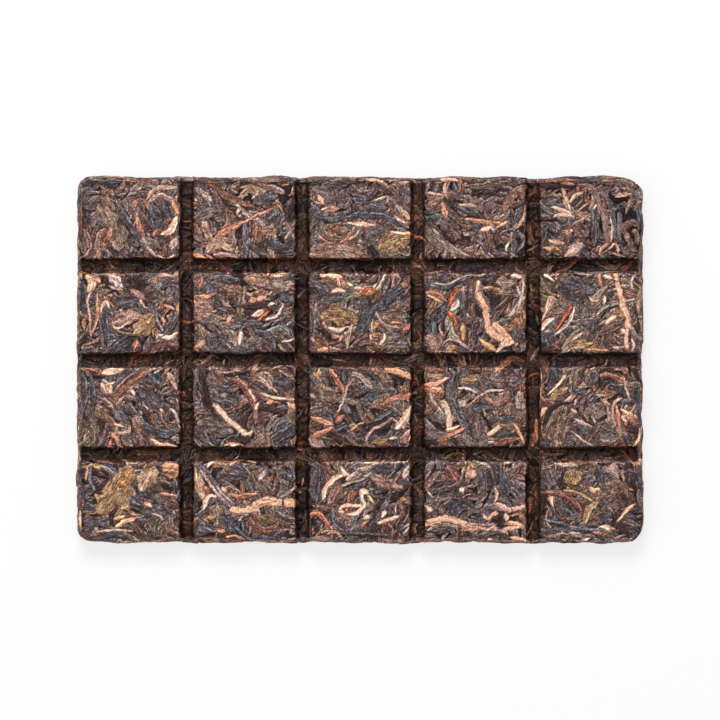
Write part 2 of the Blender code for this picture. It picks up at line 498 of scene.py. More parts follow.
# Where the leaves curl round a middle: tile column and row, the middle from the tile's own, radius, strength.
SWIRLS = (
    (3, 4, 0, -2, 5, 1.0), (4, 1, 6, 2, 5, 0.8), (5, 1, 8, 3, 6, 0.8), (1, 1, 7, 2, 4, 0.8),
    (1, 2, 1, -1, 5, 0.7), (2, 2, 3, 0, 5, 0.8), (5, 2, -3, 3, 5, 0.4), (2, 3, -1, 4, 5, 0.7),
    (4, 3, 7, -3, 5, 0.5), (5, 3, 8, 0, 6, 0.7), (5, 4, -6, -2, 6, 0.6), (2, 4, -5, 0, 6, 0.5),
    (3, 1, -5, 3, 6, 0.5),
)


class Flow:
    """The way the leaf lies at each point of the plan.

    It has no front and back, so it is kept as the cosine and sine of twice its angle.
    """

    STEP = 0.5      # between its own grid's points
    BROAD_TURN, NARROW_TURN = 1.9, 1.5    # how far it turns over about 12 mm and over 4.5 mm, in radians
    LAYERED = 6     # how strongly leaf on the sides is drawn level, against 1 for the flow elsewhere

    def __init__(self, plan):
        x, y = np.meshgrid(*[np.arange(0, side + 1, self.STEP) for side in plan.size])
        broad, narrow = plan.noise(x / 12 + 3, y / 12 + 8), plan.noise(x / 4.5, y / 4.5 + 40)
        angle = self.BROAD_TURN * broad + self.NARROW_TURN * narrow
        self.cosine, self.sine = np.cos(2 * angle), np.sin(2 * angle)
        for column, row, dx, dy, radius, strength in SWIRLS:
            middle = tile_point(column, row, dx, dy)
            away_x, away_y = (x - middle[0]) / radius, (y - middle[1]) / radius
            around = 2 * np.arctan2(away_y, away_x) + math.pi
            weight = 2 * strength * np.exp(-(away_x ** 2 + away_y ** 2))
            self.cosine += weight * np.cos(around)
            self.sine += weight * np.sin(around)
        self.line_up_flap(plan, x, y)

    def line_up_flap(self, plan, x, y):
        """On the sides, leaf lies in level layers."""
        left_right = np.maximum(FLAP - x, x - (plan.size[0] - FLAP))
        front_back = np.maximum(FLAP - y, y - (plan.size[1] - FLAP))
        upright = self.LAYERED * smooth(left_right / 2)
        level = self.LAYERED * smooth(front_back / 2)
        self.cosine += level - upright

    def angle(self, x, y):
        """The flow's angle at each place, within a quarter turn either way."""
        row = np.clip((y / self.STEP).astype(int), 0, self.cosine.shape[0] - 1)
        column = np.clip((x / self.STEP).astype(int), 0, self.cosine.shape[1] - 1)
        return np.arctan2(self.sine[row, column], self.cosine[row, column]) / 2


SPINE_STEPS = 9       # from a leaf's middle to each end
SPINE_BEND = 0.10     # how far a leaf bends of itself, in radians to a millimetre
SPINE_GIVE = 0.45     # the share of the flow's turn that a leaf follows at each step
SPINE_LIMIT = 0.4     # the most of that turn that it takes up, in radians


def flowing_spines(rng, flow, x, y, lengths, stray):
    """A spine through each start point that follows the flow, give or take a stray angle of its own."""
    turn = rng.normal(0, stray, len(x))
    bend = rng.normal(0, SPINE_BEND, len(x))
    step = lengths / (2 * SPINE_STEPS)
    halves = []
    for way in (1, -1):
        at_x, at_y = x.copy(), y.copy()
        heading = flow.angle(at_x, at_y) + turn + (0 if way > 0 else math.pi)
        points = [np.stack([at_x, at_y], 1)]
        for _ in range(SPINE_STEPS):
            wanted = flow.angle(at_x, at_y) + turn
            off = (wanted - heading + math.pi / 2) % math.pi - math.pi / 2
            heading = heading + SPINE_GIVE * np.clip(off, -SPINE_LIMIT, SPINE_LIMIT) + way * bend * step
            at_x = at_x + np.cos(heading) * step
            at_y = at_y + np.sin(heading) * step
            points.append(np.stack([at_x, at_y], 1))
        halves.append(np.stack(points, 1))
    return np.concatenate([halves[1][:, :0:-1], halves[0]], 1)


def broad_leaf(rng):
    """An open leaf, with veins."""
    look = Look(outline=rng.choice(["lens", "blob"]), bulge=0.10, veins=rng.uniform(0.3, 1.0),
                edge=rng.choice([0, 0.4, -0.4]), wrinkle=0.055, streak=0.28, mottle=0.30, ragged=0.6,
                shade=rng.uniform(0.2, 0.7))
    return pick(rng, BROAD, 0.14), look


def rolled_leaf(rng):
    """A leaf that has dried into a narrow roll, often with a crease."""
    crease = rng.uniform(-0.5, 0.5) if rng.uniform() < 0.6 else None
    look = Look(outline=rng.choice(["strip", "lens", "stem"]), bulge=rng.uniform(0.10, 0.25),
                edge=rng.choice([0, 0.4, -0.4, 0.7]), crease=crease, shade=rng.uniform(0.2, 0.8))
    return pick(rng, PLAIN), look


def warm_strip(rng):
    """A narrow strip or stem in a warm colour."""
    look = Look(outline=rng.choice(["strip", "stem"]), bulge=rng.uniform(0.10, 0.20),
                edge=rng.choice([0, 0.3, -0.3]))
    return pick(rng, WARM), look


def shaded_gap(rng):
    """A hollow between leaves, painted dark for the shade in it."""
    return 0.4 * COLOURS["dark"], Look(outline="lens", ragged=0.6, shade=0.0, sink=0.30)


def shred(rng):
    """A small torn bit."""
    return pick(rng, PLAIN if rng.uniform() < 0.75 else WARM), Look(outline="lens", ragged=0.5)


def pale_bit(rng):
    """A small pale tip or stem."""
    return pick(rng, PALE), Look(outline=rng.choice(["club", "lens"]), bulge=0.12, ragged=0.5)


def hair(rng):
    """A very thin leaf vein or fibre."""
    return pick(rng, PALE if rng.uniform() < 0.35 else PLAIN), Look(outline="hair", bulge=0.06, ragged=0.5)


# Each kind of leaf: how it is made, how many, its lengths, its widths and how far it strays from the flow.
UNDERLAY = (broad_leaf, 1300, (8, 16), (3.0, 6.0), 0.4)
UNDERLAY_DEPTHS = (0.22, 0.42)
CROWD_DEPTH = 0.26      # of the first leaves of the crowd. The last ones lie at the face
CROWD = (
    (broad_leaf, 1500, (5, 13), (2.4, 5.6), 0.45),
    (rolled_leaf, 2300, (6, 17), (1.0, 2.6), 0.28),
    (warm_strip, 300, (3, 11), (0.5, 1.6), 0.35),
    (shred, 700, (1.0, 4.0), (0.4, 1.2), 0.8),
    (shaded_gap, 1600, (1.5, 7.0), (0.25, 0.8), 0.3),
    (pale_bit, 90, (1.2, 4.5), (0.35, 1.0), 0.7),
    (hair, 1300, (2, 7), (0.18, 0.34), 0.35),
)
STRAGGLERS = (
    (hair, 140, (2, 6), (0.18, 0.34), 0.7),
    (shred, 80, (1.0, 3.5), (0.4, 0.9), 1.0),
)


# The leaves that stand out, listed by tile column and row. Each is its colour and look, its width
# and the points it passes through, from the tile's middle. Some run on down into a groove.
ACCENTS = {
    (1, 1): (
        ("olive blob", 5.5, (-8.5, 4), (-4, -2), (-2.5, -9)),
        ("slate strip", 2.5, (-3.8, 5), (-1, 0), (2.1, -4.8)), ("blue blob", 3.5, (6.5, 4), (8, -3)),
        ("grey blob", 4, (3, -6), (9, -8)), ("tan strip", 1.5, (4.8, 5.2), (7.6, 8), (13.4, 8.4)),
        ("cream hair", 0.5, (5, 6.4), (8, 8.8), (13, 8.8)),
        ("pink strip", 1.8, (5.4, 4.4), (8, 6), (11.2, 5.4), (13, 3.4)),
        ("apricot lens", 1.8, (12, 5), (13.7, 1)), ("salmon lens", 1.5, (8.4, -2.8), (6.6, -5)),
        ("cream ribbed", 2.2, (13.4, 0.8), (11, -3.4), (8.6, -4.4)),
        ("white ribbed", 2.2, (13.2, -5), (11.6, -8.6)),
        ("salmon strip", 1.5, (1.6, 1), (3.4, -3), (4.6, -6)),
        ("pink strip", 1, (4, -5), (5.4, -8), (7.6, -10.6)),
        ("white hair", 0.4, (3.4, -4.4), (5.4, -8), (7, -10.4)),
        ("pink strip", 1.3, (7.4, -9.8), (10, -11), (12.8, -10)), ("orange lens", 2, (1, 2.6), (2, 5.2)),
        ("orange strip", 1.7, (-4.8, -2.2), (-5.6, -5), (-7, -8)),
        ("vivid lens", 1, (-5.6, -5), (-6.4, -7)),
    ),
    (2, 1): (
        ("taupe ribbed", 2.2, (-13.6, 8.6), (-11, 6.4), (-8.6, 4.4)), ("grey blob", 4, (-13, 1), (-5, 2.4)),
        ("slate blob", 3.6, (3, 4.4), (9, 6.4)),
        ("salmon taper", 2.6, (-7.2, -4.6), (-3, -2.4), (1, -0.6), (3.4, 0.4)),
        ("orange strip", 1, (0, -1), (4, 1.2), (8, 3)), ("cream lens", 1.4, (-1.8, 3), (-1, 0.2)),
        ("white lens", 0.9, (-2.6, 4.2), (-0.8, 3.2)),
        ("tan strip", 0.9, (-1, 8.6), (2, 8.8), (3.6, 7.4), (2.2, 5.6)),
        ("tan blob", 4, (-10.4, -9), (-6.4, -6.4), (-3.4, -8.6)),
        ("apricot lens", 2.4, (-14.4, -9.4), (-10, -11)),
        ("pink strip", 1.6, (-8.6, -9.6), (-4.6, -10.2), (-1.4, -11)),
        ("orange lens", 1.6, (2.2, 11.4), (5.8, 8.6)),
        ("pink strip", 0.8, (11.4, -0.8), (12.8, -3), (13.6, -6)),
        ("slate strip", 1.8, (0, -6), (4, -9), (7, -10.4)), ("clay blob", 3, (4.6, -3.6), (9, -3)),
    ),
    (3, 1): (
        ("grey blob", 4, (-13, 8), (-7, 6)),
        ("blue strip", 2, (-13.6, 1), (-7, -0.2), (0, 1), (6, 0.8), (13.4, -2.4)),
        ("peach lens", 1.8, (-11.4, 6.6), (-10.2, 4)), ("pink ribbed", 2.4, (-11, 2.4), (-5.4, 3)),
        ("cream lens", 1.6, (-4, -1), (0.4, -1.6), (4.8, -1.6)), ("brown blob", 3.4, (-9.4, -4), (-3, -3)),
        ("salmon strip", 0.9, (-12, -4), (-8.6, -6.6), (-5, -6.4), (-2, -3.8)),
        ("clay blob", 5, (-14, -10), (-6, -8.4), (1, -9.4)), ("tan strip", 1.6, (9.6, 3.8), (13.8, -0.6)),
        ("cream hair", 0.7, (9, 0.9), (13, -1.6)), ("mustard blob", 5, (5, -8.4), (10, -6), (14, -5)),
        ("apricot strip", 1.2, (8, -3.6), (14, -4.2), (18, -6.2)),
        ("tan strip", 1.4, (1.2, 10.9), (5.6, 10.1), (8, 8.6)),
        ("pink strip", 1.3, (8.7, 9.3), (13.4, 10.1)), ("slate blob", 3.6, (-2, 5.4), (3, 5)),
        ("dark blob", 2.6, (2.4, -7.4), (4.6, -10)),
    ),
    (4, 1): (
        ("brown blob", 4, (-13, 4), (-9, 6)), ("orange lens", 1.6, (-9.2, 4.6), (-8.2, -0.2)),
        ("slate strip", 2, (-6, 4.4), (-2, 2.4), (0.8, 1.4)),
        ("tan strip", 1, (-4.8, 3.8), (-2, 3.8), (0.6, 3)),
        ("orange strip", 1.6, (-2.8, 0.2), (2.6, -1), (9, -1.2)),
        ("tan strip", 0.9, (5.6, -2.4), (9.4, -0.6)), ("cream lens", 1.6, (1.2, -3.2), (4.6, -2.2)),
        ("taupe ribbed", 2.2, (-12, -2.4), (-9, -6.2), (-5, -9), (-1.6, -10)),
        ("umber blob", 4.4, (-8, -1), (-4, -5.4)),
        ("brown strip", 3, (14.6, 9), (11, 7), (9, 4.4), (8, 1.6)),
        ("slate strip", 1.4, (6.4, -4.4), (10, -3), (13.4, -6), (11, -9.6)),
        ("tan strip", 1.4, (-11, 10), (-7, 10.6), (-4.4, 10)), ("pink strip", 1, (-13.6, 7.4), (-8.6, 6.2)),
        ("dark strip", 1.2, (-2, 6.6), (4, 7.4), (8, 6)),
        ("mauve strip", 1.4, (0, -6), (4, -8.6), (9, -10)),
    ),
    (5, 1): (
        # The black blobs and strips here are painted shade, in deep gaps and under the loose corner leaves.
        ("black blob", 10, (9, 3), (10, -6)), ("black blob", 3.4, (4.8, 6.6), (11, 5.4)),
        ("umber blob", 4, (-4, -1), (-1, -5)), ("dark strip", 1.6, (-14, 9.6), (-9, 8.9), (-4, 8.8)),
        ("tan strip", 1, (-8.2, 9.8), (-4, 9.4)), ("slate blob", 3.4, (-12.4, 4), (-9.4, 5.4)),
        ("tan strip", 1.4, (-7.8, 8.4), (-7, 5.4), (-5.6, 2.2)),
        ("peach hair", 0.6, (-7.8, 5), (-6.2, 2.4)),
        ("tan strip", 1.2, (-6.1, 4), (-4.4, 6.4), (-2.2, 7.3)),
        ("cream strip", 1.2, (-11.2, 3.3), (-8.6, 2.6), (-5.4, 1.6)),
        ("cream strip", 1.1, (-10.4, 0.5), (-8, 1.2), (-4.6, 0.7)),
        ("orange strip", 0.7, (-4.6, 1.1), (-2, 3.5), (0.2, 5)),
        ("pink strip", 1, (-5.2, -1.7), (-2.4, -0.3), (-0.8, 1)),
        ("peach lens", 1, (-6.9, -2.7), (-6.2, -4.8)), ("peach lens", 0.8, (-6.2, -2.9), (-4.8, -3.6)),
        ("tan lens", 1.4, (-11.8, -5.9), (-6.8, -6.8)), ("amber lens", 1.5, (-13.2, -8), (-8.2, -8.5)),
        ("pink blob", 2.8, (-7.2, -10.4), (-2.6, -6.6)),
        ("slate ribbed", 2.4, (0.2, 3), (1, -2), (0.6, -9)), ("black strip", 0.9, (2.3, 1.6), (2.9, -3)),
        ("black strip", 0.6, (0.4, 8.4), (2.6, 8.9), (5, 7.8)),
        ("black strip", 0.5, (-12.8, 8.2), (-8.4, 8.1)),
        ("pink strip", 1.3, (2.2, -10), (3.4, -7.6), (5, -6.8)),
        ("orange strip", 1, (4.8, -8.4), (6.4, -7), (7.6, -9.6)),
        ("cream strip", 0.8, (1.4, 11.2), (3.6, 10.9), (6.6, 10.8)),
        ("umber blob", 3.4, (8.4, -9), (12.8, -8.6)),
    ),
    (1, 2): (
        ("slate strip", 1.8, (-8, 4), (-7.6, -2), (-7.2, -9.6)),
        ("blue strip", 1.6, (-6.2, 0), (-6, -5), (-5.6, -10.4)),
        ("blue strip", 2, (-12.6, 8.6), (-12, 5), (-12.4, 0)),
        ("peach strip", 2.4, (-11.6, 10.4), (-10.2, 8), (-10.6, 5)),
        ("orange lens", 1.6, (-9.2, 10), (-7.8, 8)),
        ("pink strip", 0.9, (-9, 7), (-10.9, 4.6), (-10.8, -1), (-10.3, -6.6)),
        ("orange strip", 1.2, (-8.7, 5.4), (-8.5, 1), (-9.2, -3), (-10.2, -6)),
        ("orange lens", 1.4, (-12.3, -1), (-12.1, -5.2)),
        ("peach strip", 1.1, (-7.6, -0.2), (-7.2, 2.2), (-6.3, 3), (-5.2, 1.4)),
        ("white ribbed", 2.8, (-5.6, 10.4), (-3.6, 8.8), (-1.4, 7)),
        ("white hair", 0.6, (-5.2, 7.6), (-3.8, 6.7), (-2.2, 6.5)),
        ("slate blob", 4.2, (-3.2, 2.6), (2.4, 3.4)), ("pink blob", 2.2, (0.6, 6.4), (4.4, 3.8)),
        ("cream taper", 0.9, (3.1, 3.4), (4.9, 1)), ("pink blob", 3.6, (-4.2, -2.8), (0, -1), (3.6, -0.8)),
        ("cream hair", 0.5, (-4.3, -2), (-4.2, -3.9), (-2.6, -4.1), (0, -2.4)),
        ("mustard blob", 4.4, (6.8, -0.4), (4, -3.4), (1.4, -5.6)),
        ("salmon lens", 1.9, (2.4, -7.4), (1.6, -10.2)), ("blue blob", 4, (-4.6, -9.6), (0.6, -7.2)),
        ("cream strip", 1.3, (8, -6), (11, -6.8), (13.6, -5.2)),
        ("amber strip", 1.4, (14.6, 4.4), (13.4, 1.6), (13.6, -0.4)),
        ("orange lens", 1.2, (9.4, 2.4), (12.8, 1)), ("pink strip", 1, (8.6, 10.4), (13.6, 9.8)),
    ),
    (2, 2): (
        ("clay blob", 6.5, (-13.6, 1.6), (-8.6, 1.4)),
        ("slate strip", 2.4, (-10, 9.4), (-5, 9.4), (-1.2, 9)), ("slate blob", 3, (-11, 6.6), (-7, 7)),
        ("salmon lens", 1.9, (-11.5, 10), (-12.4, 6.6)),
        ("orange strip", 1.2, (-14, 4.6), (-10.4, 4.4), (-7.6, 5.6)),
        ("brown blob", 3, (-6, 7), (-0.6, 5.6)), ("clay blob", 3.4, (0, 9.6), (7, 8.6)),
        ("taupe blob", 3.2, (7.6, 7.8), (13.6, 8)), ("amber strip", 1, (7.4, 10.8), (12.4, 10.9)),
        ("cream lens", 0.7, (7.6, 10.2), (10.8, 10.3)), ("blue blob", 3, (9.6, 5.4), (13.8, 3)),
        ("apricot lens", 1.5, (1, 3.1), (3.6, 3.8)), ("peach lens", 1.4, (3, 3.7), (5.9, 4.7)),
        ("dark strip", 1, (-3, 2), (2, 1.4), (7, 2.4)), ("cream lens", 0.8, (6.4, 2.2), (8.5, 2.8)),
        ("cream lens", 1.4, (-4.9, -2.6), (-3.4, -0.4)), ("cream ribbed", 2, (2, -0.9), (5.8, 0.9)),
        ("vivid strip", 1, (3.4, -2.1), (7, 0.8)), ("white strip", 0.8, (5.8, -1.8), (9, -0.8), (11, 2.6)),
        ("slate strip", 2.6, (-2.8, -2), (1, -2.6), (4, -3)),
        ("blue strip", 2.4, (2.6, -4.8), (6, -6), (8.6, -10)),
        ("cream blob", 1.7, (-0.7, -5), (-1.6, -8.6)), ("grey blob", 4.2, (1, -8.6), (5, -8)),
        ("slate blob", 3.4, (-9, -5.6), (-8.2, -9.8)), ("tan lens", 2, (-13.4, -9.4), (-10.4, -7.6)),
        ("white strip", 0.6, (10, -7.6), (12.6, -7.4), (13.5, -6.8)),
    ),
    (3, 2): (
        ("peach strip", 1.3, (-10.6, 9.8), (-8, 10.2), (-4.8, 9.9)),
        ("cream lens", 1.5, (-8.2, 5.6), (-6, 6.3), (-3.8, 5.8)), ("slate blob", 3, (-11, 3.6), (-4.4, 4)),
        ("amber blob", 2.6, (-1.6, 5.4), (5, 6.4)), ("cream lens", 1.3, (-1.8, 6.9), (1.2, 6.6)),
        ("vivid strip", 1, (0, 4.8), (2.4, 6.6), (4.8, 6.2)), ("slate blob", 3.6, (-2, 3), (3, 2.6)),
        ("blue strip", 3.2, (11.6, 7.2), (7.6, 3.8), (5.2, 0.8)),
        ("blue strip", 3.2, (4.6, 2.2), (1.4, -2), (-0.8, -6.6)),
        ("mustard blob", 5.4, (-11, -1.2), (-6, -0.6), (-0.8, -2.2)),
        ("white lens", 1.4, (-8.9, -3.9), (-6.4, -5), (-3.8, -3.9)),
        ("dark strip", 1.3, (-12.2, -4), (-9.6, -5.2), (-8, -7.2)),
        ("rust blob", 3.4, (-12.8, -7.6), (-9, -9.8)), ("apricot lens", 1.5, (-12, -10), (-8.6, -9.6)),
        ("cream lens", 0.8, (-13.4, -6.4), (-12.2, -8)), ("cream lens", 0.8, (-4.9, -6.2), (-5.6, -7.9)),
        ("taupe strip", 1.5, (-2, -3), (-3, -5.6), (-3.8, -10)),
        ("olive blob", 4.2, (5.6, -0.8), (12.8, -0.8)),
        ("pink strip", 1.1, (4.4, 0.6), (6.2, -2.6), (10.8, -4.1)),
        ("apricot lens", 0.8, (7.8, -2.4), (11.8, -2.7)), ("amber lens", 2, (2.8, -4.2), (5.6, -3)),
        ("cream strip", 0.5, (3.3, -5), (3.5, -1.9)), ("cream strip", 0.6, (2.9, -5.8), (3, -8)),
        ("cream strip", 0.9, (6.8, -5.6), (6.4, -7.4), (5, -9)), ("grey blob", 5, (7, -8.2), (12.8, -8)),
        ("salmon lens", 1.8, (14, -2.8), (11.4, -5.2)), ("tan strip", 0.9, (14.3, -8.4), (14.8, -13)),
    ),
    (4, 2): (
        ("slate blob", 3, (-13.4, 9.8), (-7, 9.6)),
        ("blue strip", 1.5, (-13.4, 7.6), (-8, 7), (-4.5, 8.6), (-0.8, 10.2)),
        ("white hair", 0.5, (-13, 8.4), (-7.4, 7.8), (-3.8, 9.8), (-1.2, 10.6)),
        ("tan strip", 0.9, (-13.6, 11), (-8, 11.6)),
        ("orange strip", 1.5, (-13.9, 5.5), (-10.5, 5.2), (-8, 3.2)),
        ("peach hair", 0.5, (-13.6, 5.2), (-9.2, 2.9)),
        ("vivid strip", 1.5, (-4.9, 7.1), (-6.2, 4.6), (-7.3, 1.6)),
        ("white ribbed", 2.2, (-4.9, 4), (-5.8, 1.6), (-6.8, 0)),
        ("vivid strip", 1.3, (-7.5, 0.3), (-6, -1.8), (-5.3, -4)),
        ("slate ribbed", 2.2, (-3.4, 6.6), (-3.4, 1), (-3.5, -3)),
        ("cream lens", 1.3, (-3.5, 7.4), (-3.4, 5.6)), ("umber blob", 3.4, (-0.9, 9), (-1, -2)),
        ("amber blob", 1.6, (-3.6, -3), (-3.4, -7.6)), ("olive blob", 2, (3, 6.2), (13.8, 5)),
        ("orange strip", 0.9, (1.8, 6.6), (4.6, 6.9), (7.2, 6.2)),
        ("taupe blob", 3.4, (5.4, 8.6), (10.8, 8.4)), ("cream blob", 1.4, (9.6, 10.3), (12.8, 10)),
        ("amber strip", 1.9, (1, -7.2), (3, -9), (5.6, -10.2)),
        ("peach plain", 1, (0.8, 8.8), (0.6, 7), (0.2, 5)),
        ("peach plain", 1.8, (0.4, 5.6), (2.1, 2.6), (3.2, -1.4), (3.6, -4.8)),
        ("peach plain", 2.4, (3.2, -4), (6, -6.2), (9.8, -7.6)),
        ("peach plain", 1.8, (4.8, -2.6), (6.4, -4.4), (9.4, -7.2)),
        ("peach taper", 2.8, (10.2, -7.2), (8, -8.6), (5, -11)),
        ("white ribbed", 1.6, (12.8, 6), (12.4, 4), (11, 1.2), (9.2, -1.4)),
        ("white taper", 1, (12.7, 4), (13, 9.8)), ("white taper", 1, (12.4, 4.8), (11.2, 7.6)),
        ("blue strip", 1.1, (-10, -10.4), (-8, -7.8), (-4.6, -8.4), (-0.6, -10.6)),
        ("white hair", 0.5, (-9.4, -8.4), (-7.2, -7.3), (-3.6, -8.3), (-1.6, -9.6)),
        ("amber lens", 1.9, (-8.2, -9.6), (-5.4, -9.2)), ("clay blob", 5, (-13.2, -6), (-10, -9.6)),
        ("slate blob", 4, (10.4, -4.4), (13.4, -8.4)), ("tan strip", 1.3, (13.4, -10.8), (16.4, -13)),
    ),
    (5, 2): (
        ("slate blob", 3.6, (-9, 9), (1.4, 6)), ("blue strip", 1.2, (-7.4, 8.6), (-2, 6.8)),
        ("tan taper", 2.8, (-10.4, 4.6), (-12, 1), (-13.5, -2.4)),
        ("cream hair", 0.6, (-11.4, 4.2), (-12.8, -0.6)),
        ("cream strip", 1.4, (-10.2, -1.4), (-12.2, -2.4), (-13.6, -4.8)),
        ("cream lens", 0.9, (-13, -4.8), (-10.8, -4.9)), ("cream taper", 1, (-13, 10.5), (-10, 8.6)),
        ("vivid strip", 1.4, (-5.2, 2.1), (-10, -4.8)),
        ("white ribbed", 1.3, (-4.5, 2), (-6.3, -2.4), (-10.4, -6.2)),
        ("pink strip", 1, (-2, -5.4), (-4.6, -6.8), (-7, -9)),
        ("mustard blob", 2.8, (-6.6, -8.9), (0.8, -8.2)), ("amber strip", 0.9, (-2, -9.8), (4.8, -10.2)),
        ("slate strip", 1.8, (1, -1.2), (1, -4.5), (-1, -8)),
        ("cream lens", 0.9, (-0.5, 4.5), (1, 3.4), (2.6, 3.9)), ("cream lens", 0.8, (3.8, 4.8), (3.5, 2.3)),
        ("cream plain", 1.2, (3.8, -2.9), (6.8, -0.8)), ("cream blob", 1.4, (3.4, 10.2), (5.6, 9.4)),
        ("salmon strip", 1.1, (2.2, 10.8), (3, 6.8)), ("amber lens", 1.6, (8, 0.4), (9.2, -1.4)),
        ("apricot plain", 1.4, (6.6, 11), (6.9, 8)), ("peach plain", 1.7, (7, 8.4), (8.1, 4.6), (8.7, 1.2)),
        ("peach plain", 1.7, (8.6, 1.8), (10.1, -1), (9.9, -4.4)),
        ("peach plain", 1.2, (9.9, -4), (9.5, -7.5), (10, -10)),
        ("cream lens", 1.2, (8, -4.2), (9.6, -5.6)),
        ("white strip", 0.8, (11, -6.8), (11.6, -9), (10.8, -11)),
        ("white strip", 0.8, (12.4, 11), (11, 8.6), (10.9, 6.6)),
        ("vivid lens", 1, (-10.6, -8.5), (-8.2, -10)),
    ),
    (1, 3): (
        ("slate strip", 1.7, (-12.4, 9.8), (-11.8, 4), (-12.4, -1.4)),
        ("blue strip", 1.6, (-10.4, 9.4), (-9.6, 3), (-10, -2.4)),
        ("peach blob", 2.2, (-7.2, 9.4), (-1.4, 10.6)), ("tan blob", 2.4, (-7.6, 6.6), (-6, 3.8)),
        ("cream strip", 0.7, (-7, 7.6), (-5, 6.5), (-3.8, 7)), ("cream lens", 1, (-4.9, 6.4), (-5.3, 3.6)),
        ("rust stem", 2.3, (-4.6, 2.4), (0, 6), (4.8, 10.2)), ("orange lens", 1.2, (1.8, 7.4), (4.6, 10)),
        ("pink hair", 0.5, (-4.6, 3.6), (-1, 7.6), (3, 10.4)), ("tan hair", 0.5, (-2.4, 2), (2.4, 6.6)),
        ("cream stem", 0.9, (0.5, 4.6), (2.3, 3.3)), ("cream stem", 0.9, (-3.5, 0.8), (-1.9, 2.3)),
        ("slate blob", 6, (2.6, 5), (8, -1)), ("blue blob", 3.6, (5.6, 9.4), (8.6, 6.6)),
        ("slate blob", 3, (-3.6, -1), (-0.4, -4)), ("clay blob", 3.2, (1.8, -2.4), (2.6, -7.2)),
        ("pink strip", 1.1, (0.2, -4.6), (0.2, -6.2), (-1.8, -7), (-4.8, -7)),
        ("tan strip", 1, (-4.4, -4.4), (-1, -5.7)), ("apricot lens", 1.3, (-5, -7.2), (-2.8, -8.8)),
        ("tan strip", 1.3, (5.6, -8.7), (9, -10.2), (13.8, -10.9)),
        ("pink ribbed", 2.6, (10.6, 10), (11.6, 7), (13.2, 4.6)),
        ("white ribbed", 1.2, (11, 0), (13.2, -2), (13.9, -5.4), (14.4, -7.4)),
        ("cream strip", 0.6, (8, -0.4), (9.6, -1.3)), ("orange lens", 1.6, (14.2, 4.6), (16, 3)),
    ),
    (2, 3): (
        ("red strip", 1.8, (-5, 8.4), (-1.4, 6.6), (1.4, 3), (3, -1), (3, -5)),
        ("orange lens", 1, (-2.2, 7.9), (1.2, 5.6)), ("cream strip", 0.8, (0.7, 4.9), (3.1, 1.7)),
        ("cream lens", 1.2, (3.9, 1.5), (2.8, -1)), ("slate blob", 4, (-5.6, 2), (-1.4, 1)),
        ("grey blob", 4.8, (-13, -4.4), (-7.6, -5), (-3, -7)),
        ("cream plain", 1.5, (-8.5, 0.9), (-4.5, -3), (0.4, -7.4)),
        ("cream taper", 1.4, (-0.3, -7.3), (1.2, -7.2), (2.4, -5.8)),
        ("tan strip", 0.8, (4, 4), (8.4, 2.6), (14, 2)), ("apricot lens", 1.1, (6, 1.1), (8.2, 1.7)),
        ("cream strip", 0.8, (11.8, 1.3), (13.8, -0.8)), ("peach lens", 1.6, (12.4, 0.8), (14.3, -0.3)),
        ("slate blob", 4.6, (8, 7), (13, 5.4)),
        ("tan strip", 1.1, (7.6, 10.5), (11, 11.4), (14, 9.8), (14, 7.6)),
        ("blue strip", 1.6, (7, -8.6), (10, -6.6), (12.8, -4.7)),
        ("slate blob", 3.4, (8.4, -10), (12.6, -7.4)), ("salmon lens", 1.1, (14.3, -7), (13.2, -10.6)),
        ("apricot lens", 1.2, (-5.4, -10.2), (-1.2, -10.1)),
        ("cream lens", 0.8, (-4.2, -10.4), (-1.8, -10.2)),
    ),
    (3, 3): (
        ("olive blob", 5.6, (-13, 5.4), (-9.6, 3.4), (-6.2, 1.6)),
        ("amber lens", 1.3, (-12.9, 9.8), (-10.9, 7)), ("dark strip", 1.1, (-9.3, 9.6), (-6.7, 5.8)),
        ("salmon strip", 1.6, (-8.4, 10.8), (-6.2, 7.4), (-4.2, 3.8)),
        ("blue strip", 1.6, (-4.4, 9.8), (-3.8, 6)),
        ("tan strip", 0.7, (-1.6, 7.9), (-3.3, 5.8), (-4.6, 2), (-6.4, -2)),
        ("grey blob", 4.4, (4, 5.4), (9.4, 4.8)),
        ("apricot stem", 1.8, (6.7, 10.9), (10.6, 9.6), (14.4, 7.7)),
        ("salmon stem", 1.7, (6.9, 1.2), (10.4, 2.6), (14.7, 3.4)),
        ("cream blob", 2.6, (14.1, 0.6), (12.4, -3), (9.8, -6)),
        ("tan strip", 0.9, (14.4, 2), (14.3, -2.2)),
        ("pink strip", 1, (8.8, -2.8), (6, -5), (3.2, -6.2), (1.9, -8.4), (1.8, -10.8)),
        ("blue strip", 1.2, (9, -1), (4, -3.8)), ("mustard lens", 2.1, (2.8, -9.7), (7.6, -8.8)),
        ("cream lens", 0.7, (7.6, -8.6), (10.4, -8.5)), ("amber lens", 1.4, (-2.4, -6), (-0.6, -4.9)),
        ("orange strip", 1.7, (-13.7, -2.7), (-10, -3.9), (-7.2, -5)),
        ("salmon strip", 1.5, (-13.7, -8.5), (-10, -6.6), (-7, -5.2)),
        ("salmon lens", 1.8, (-6.7, -4), (-4, -2)), ("blue blob", 3.4, (-6.6, -6.4), (-3, -4.8)),
        ("white lens", 0.9, (-13.9, 4), (-12.1, 2.4)), ("tan strip", 1.2, (15, 9), (16, 5.6)),
    ),
    (4, 3): (
        ("clay blob", 4.4, (-13.2, 9), (-8.4, 8.8)),
        ("apricot strip", 1.5, (-14.8, 5.8), (-10.6, 6.4), (-7.2, 8.2)),
        ("salmon strip", 1.7, (-14.8, 4.7), (-8.4, 4.2)), ("peach hair", 0.5, (-12.4, 5.3), (-9, 5)),
        ("slate strip", 2.4, (-4, 10.6), (-6, 7.6), (-7, 4.6), (-6, 0), (-4, -4.4)),
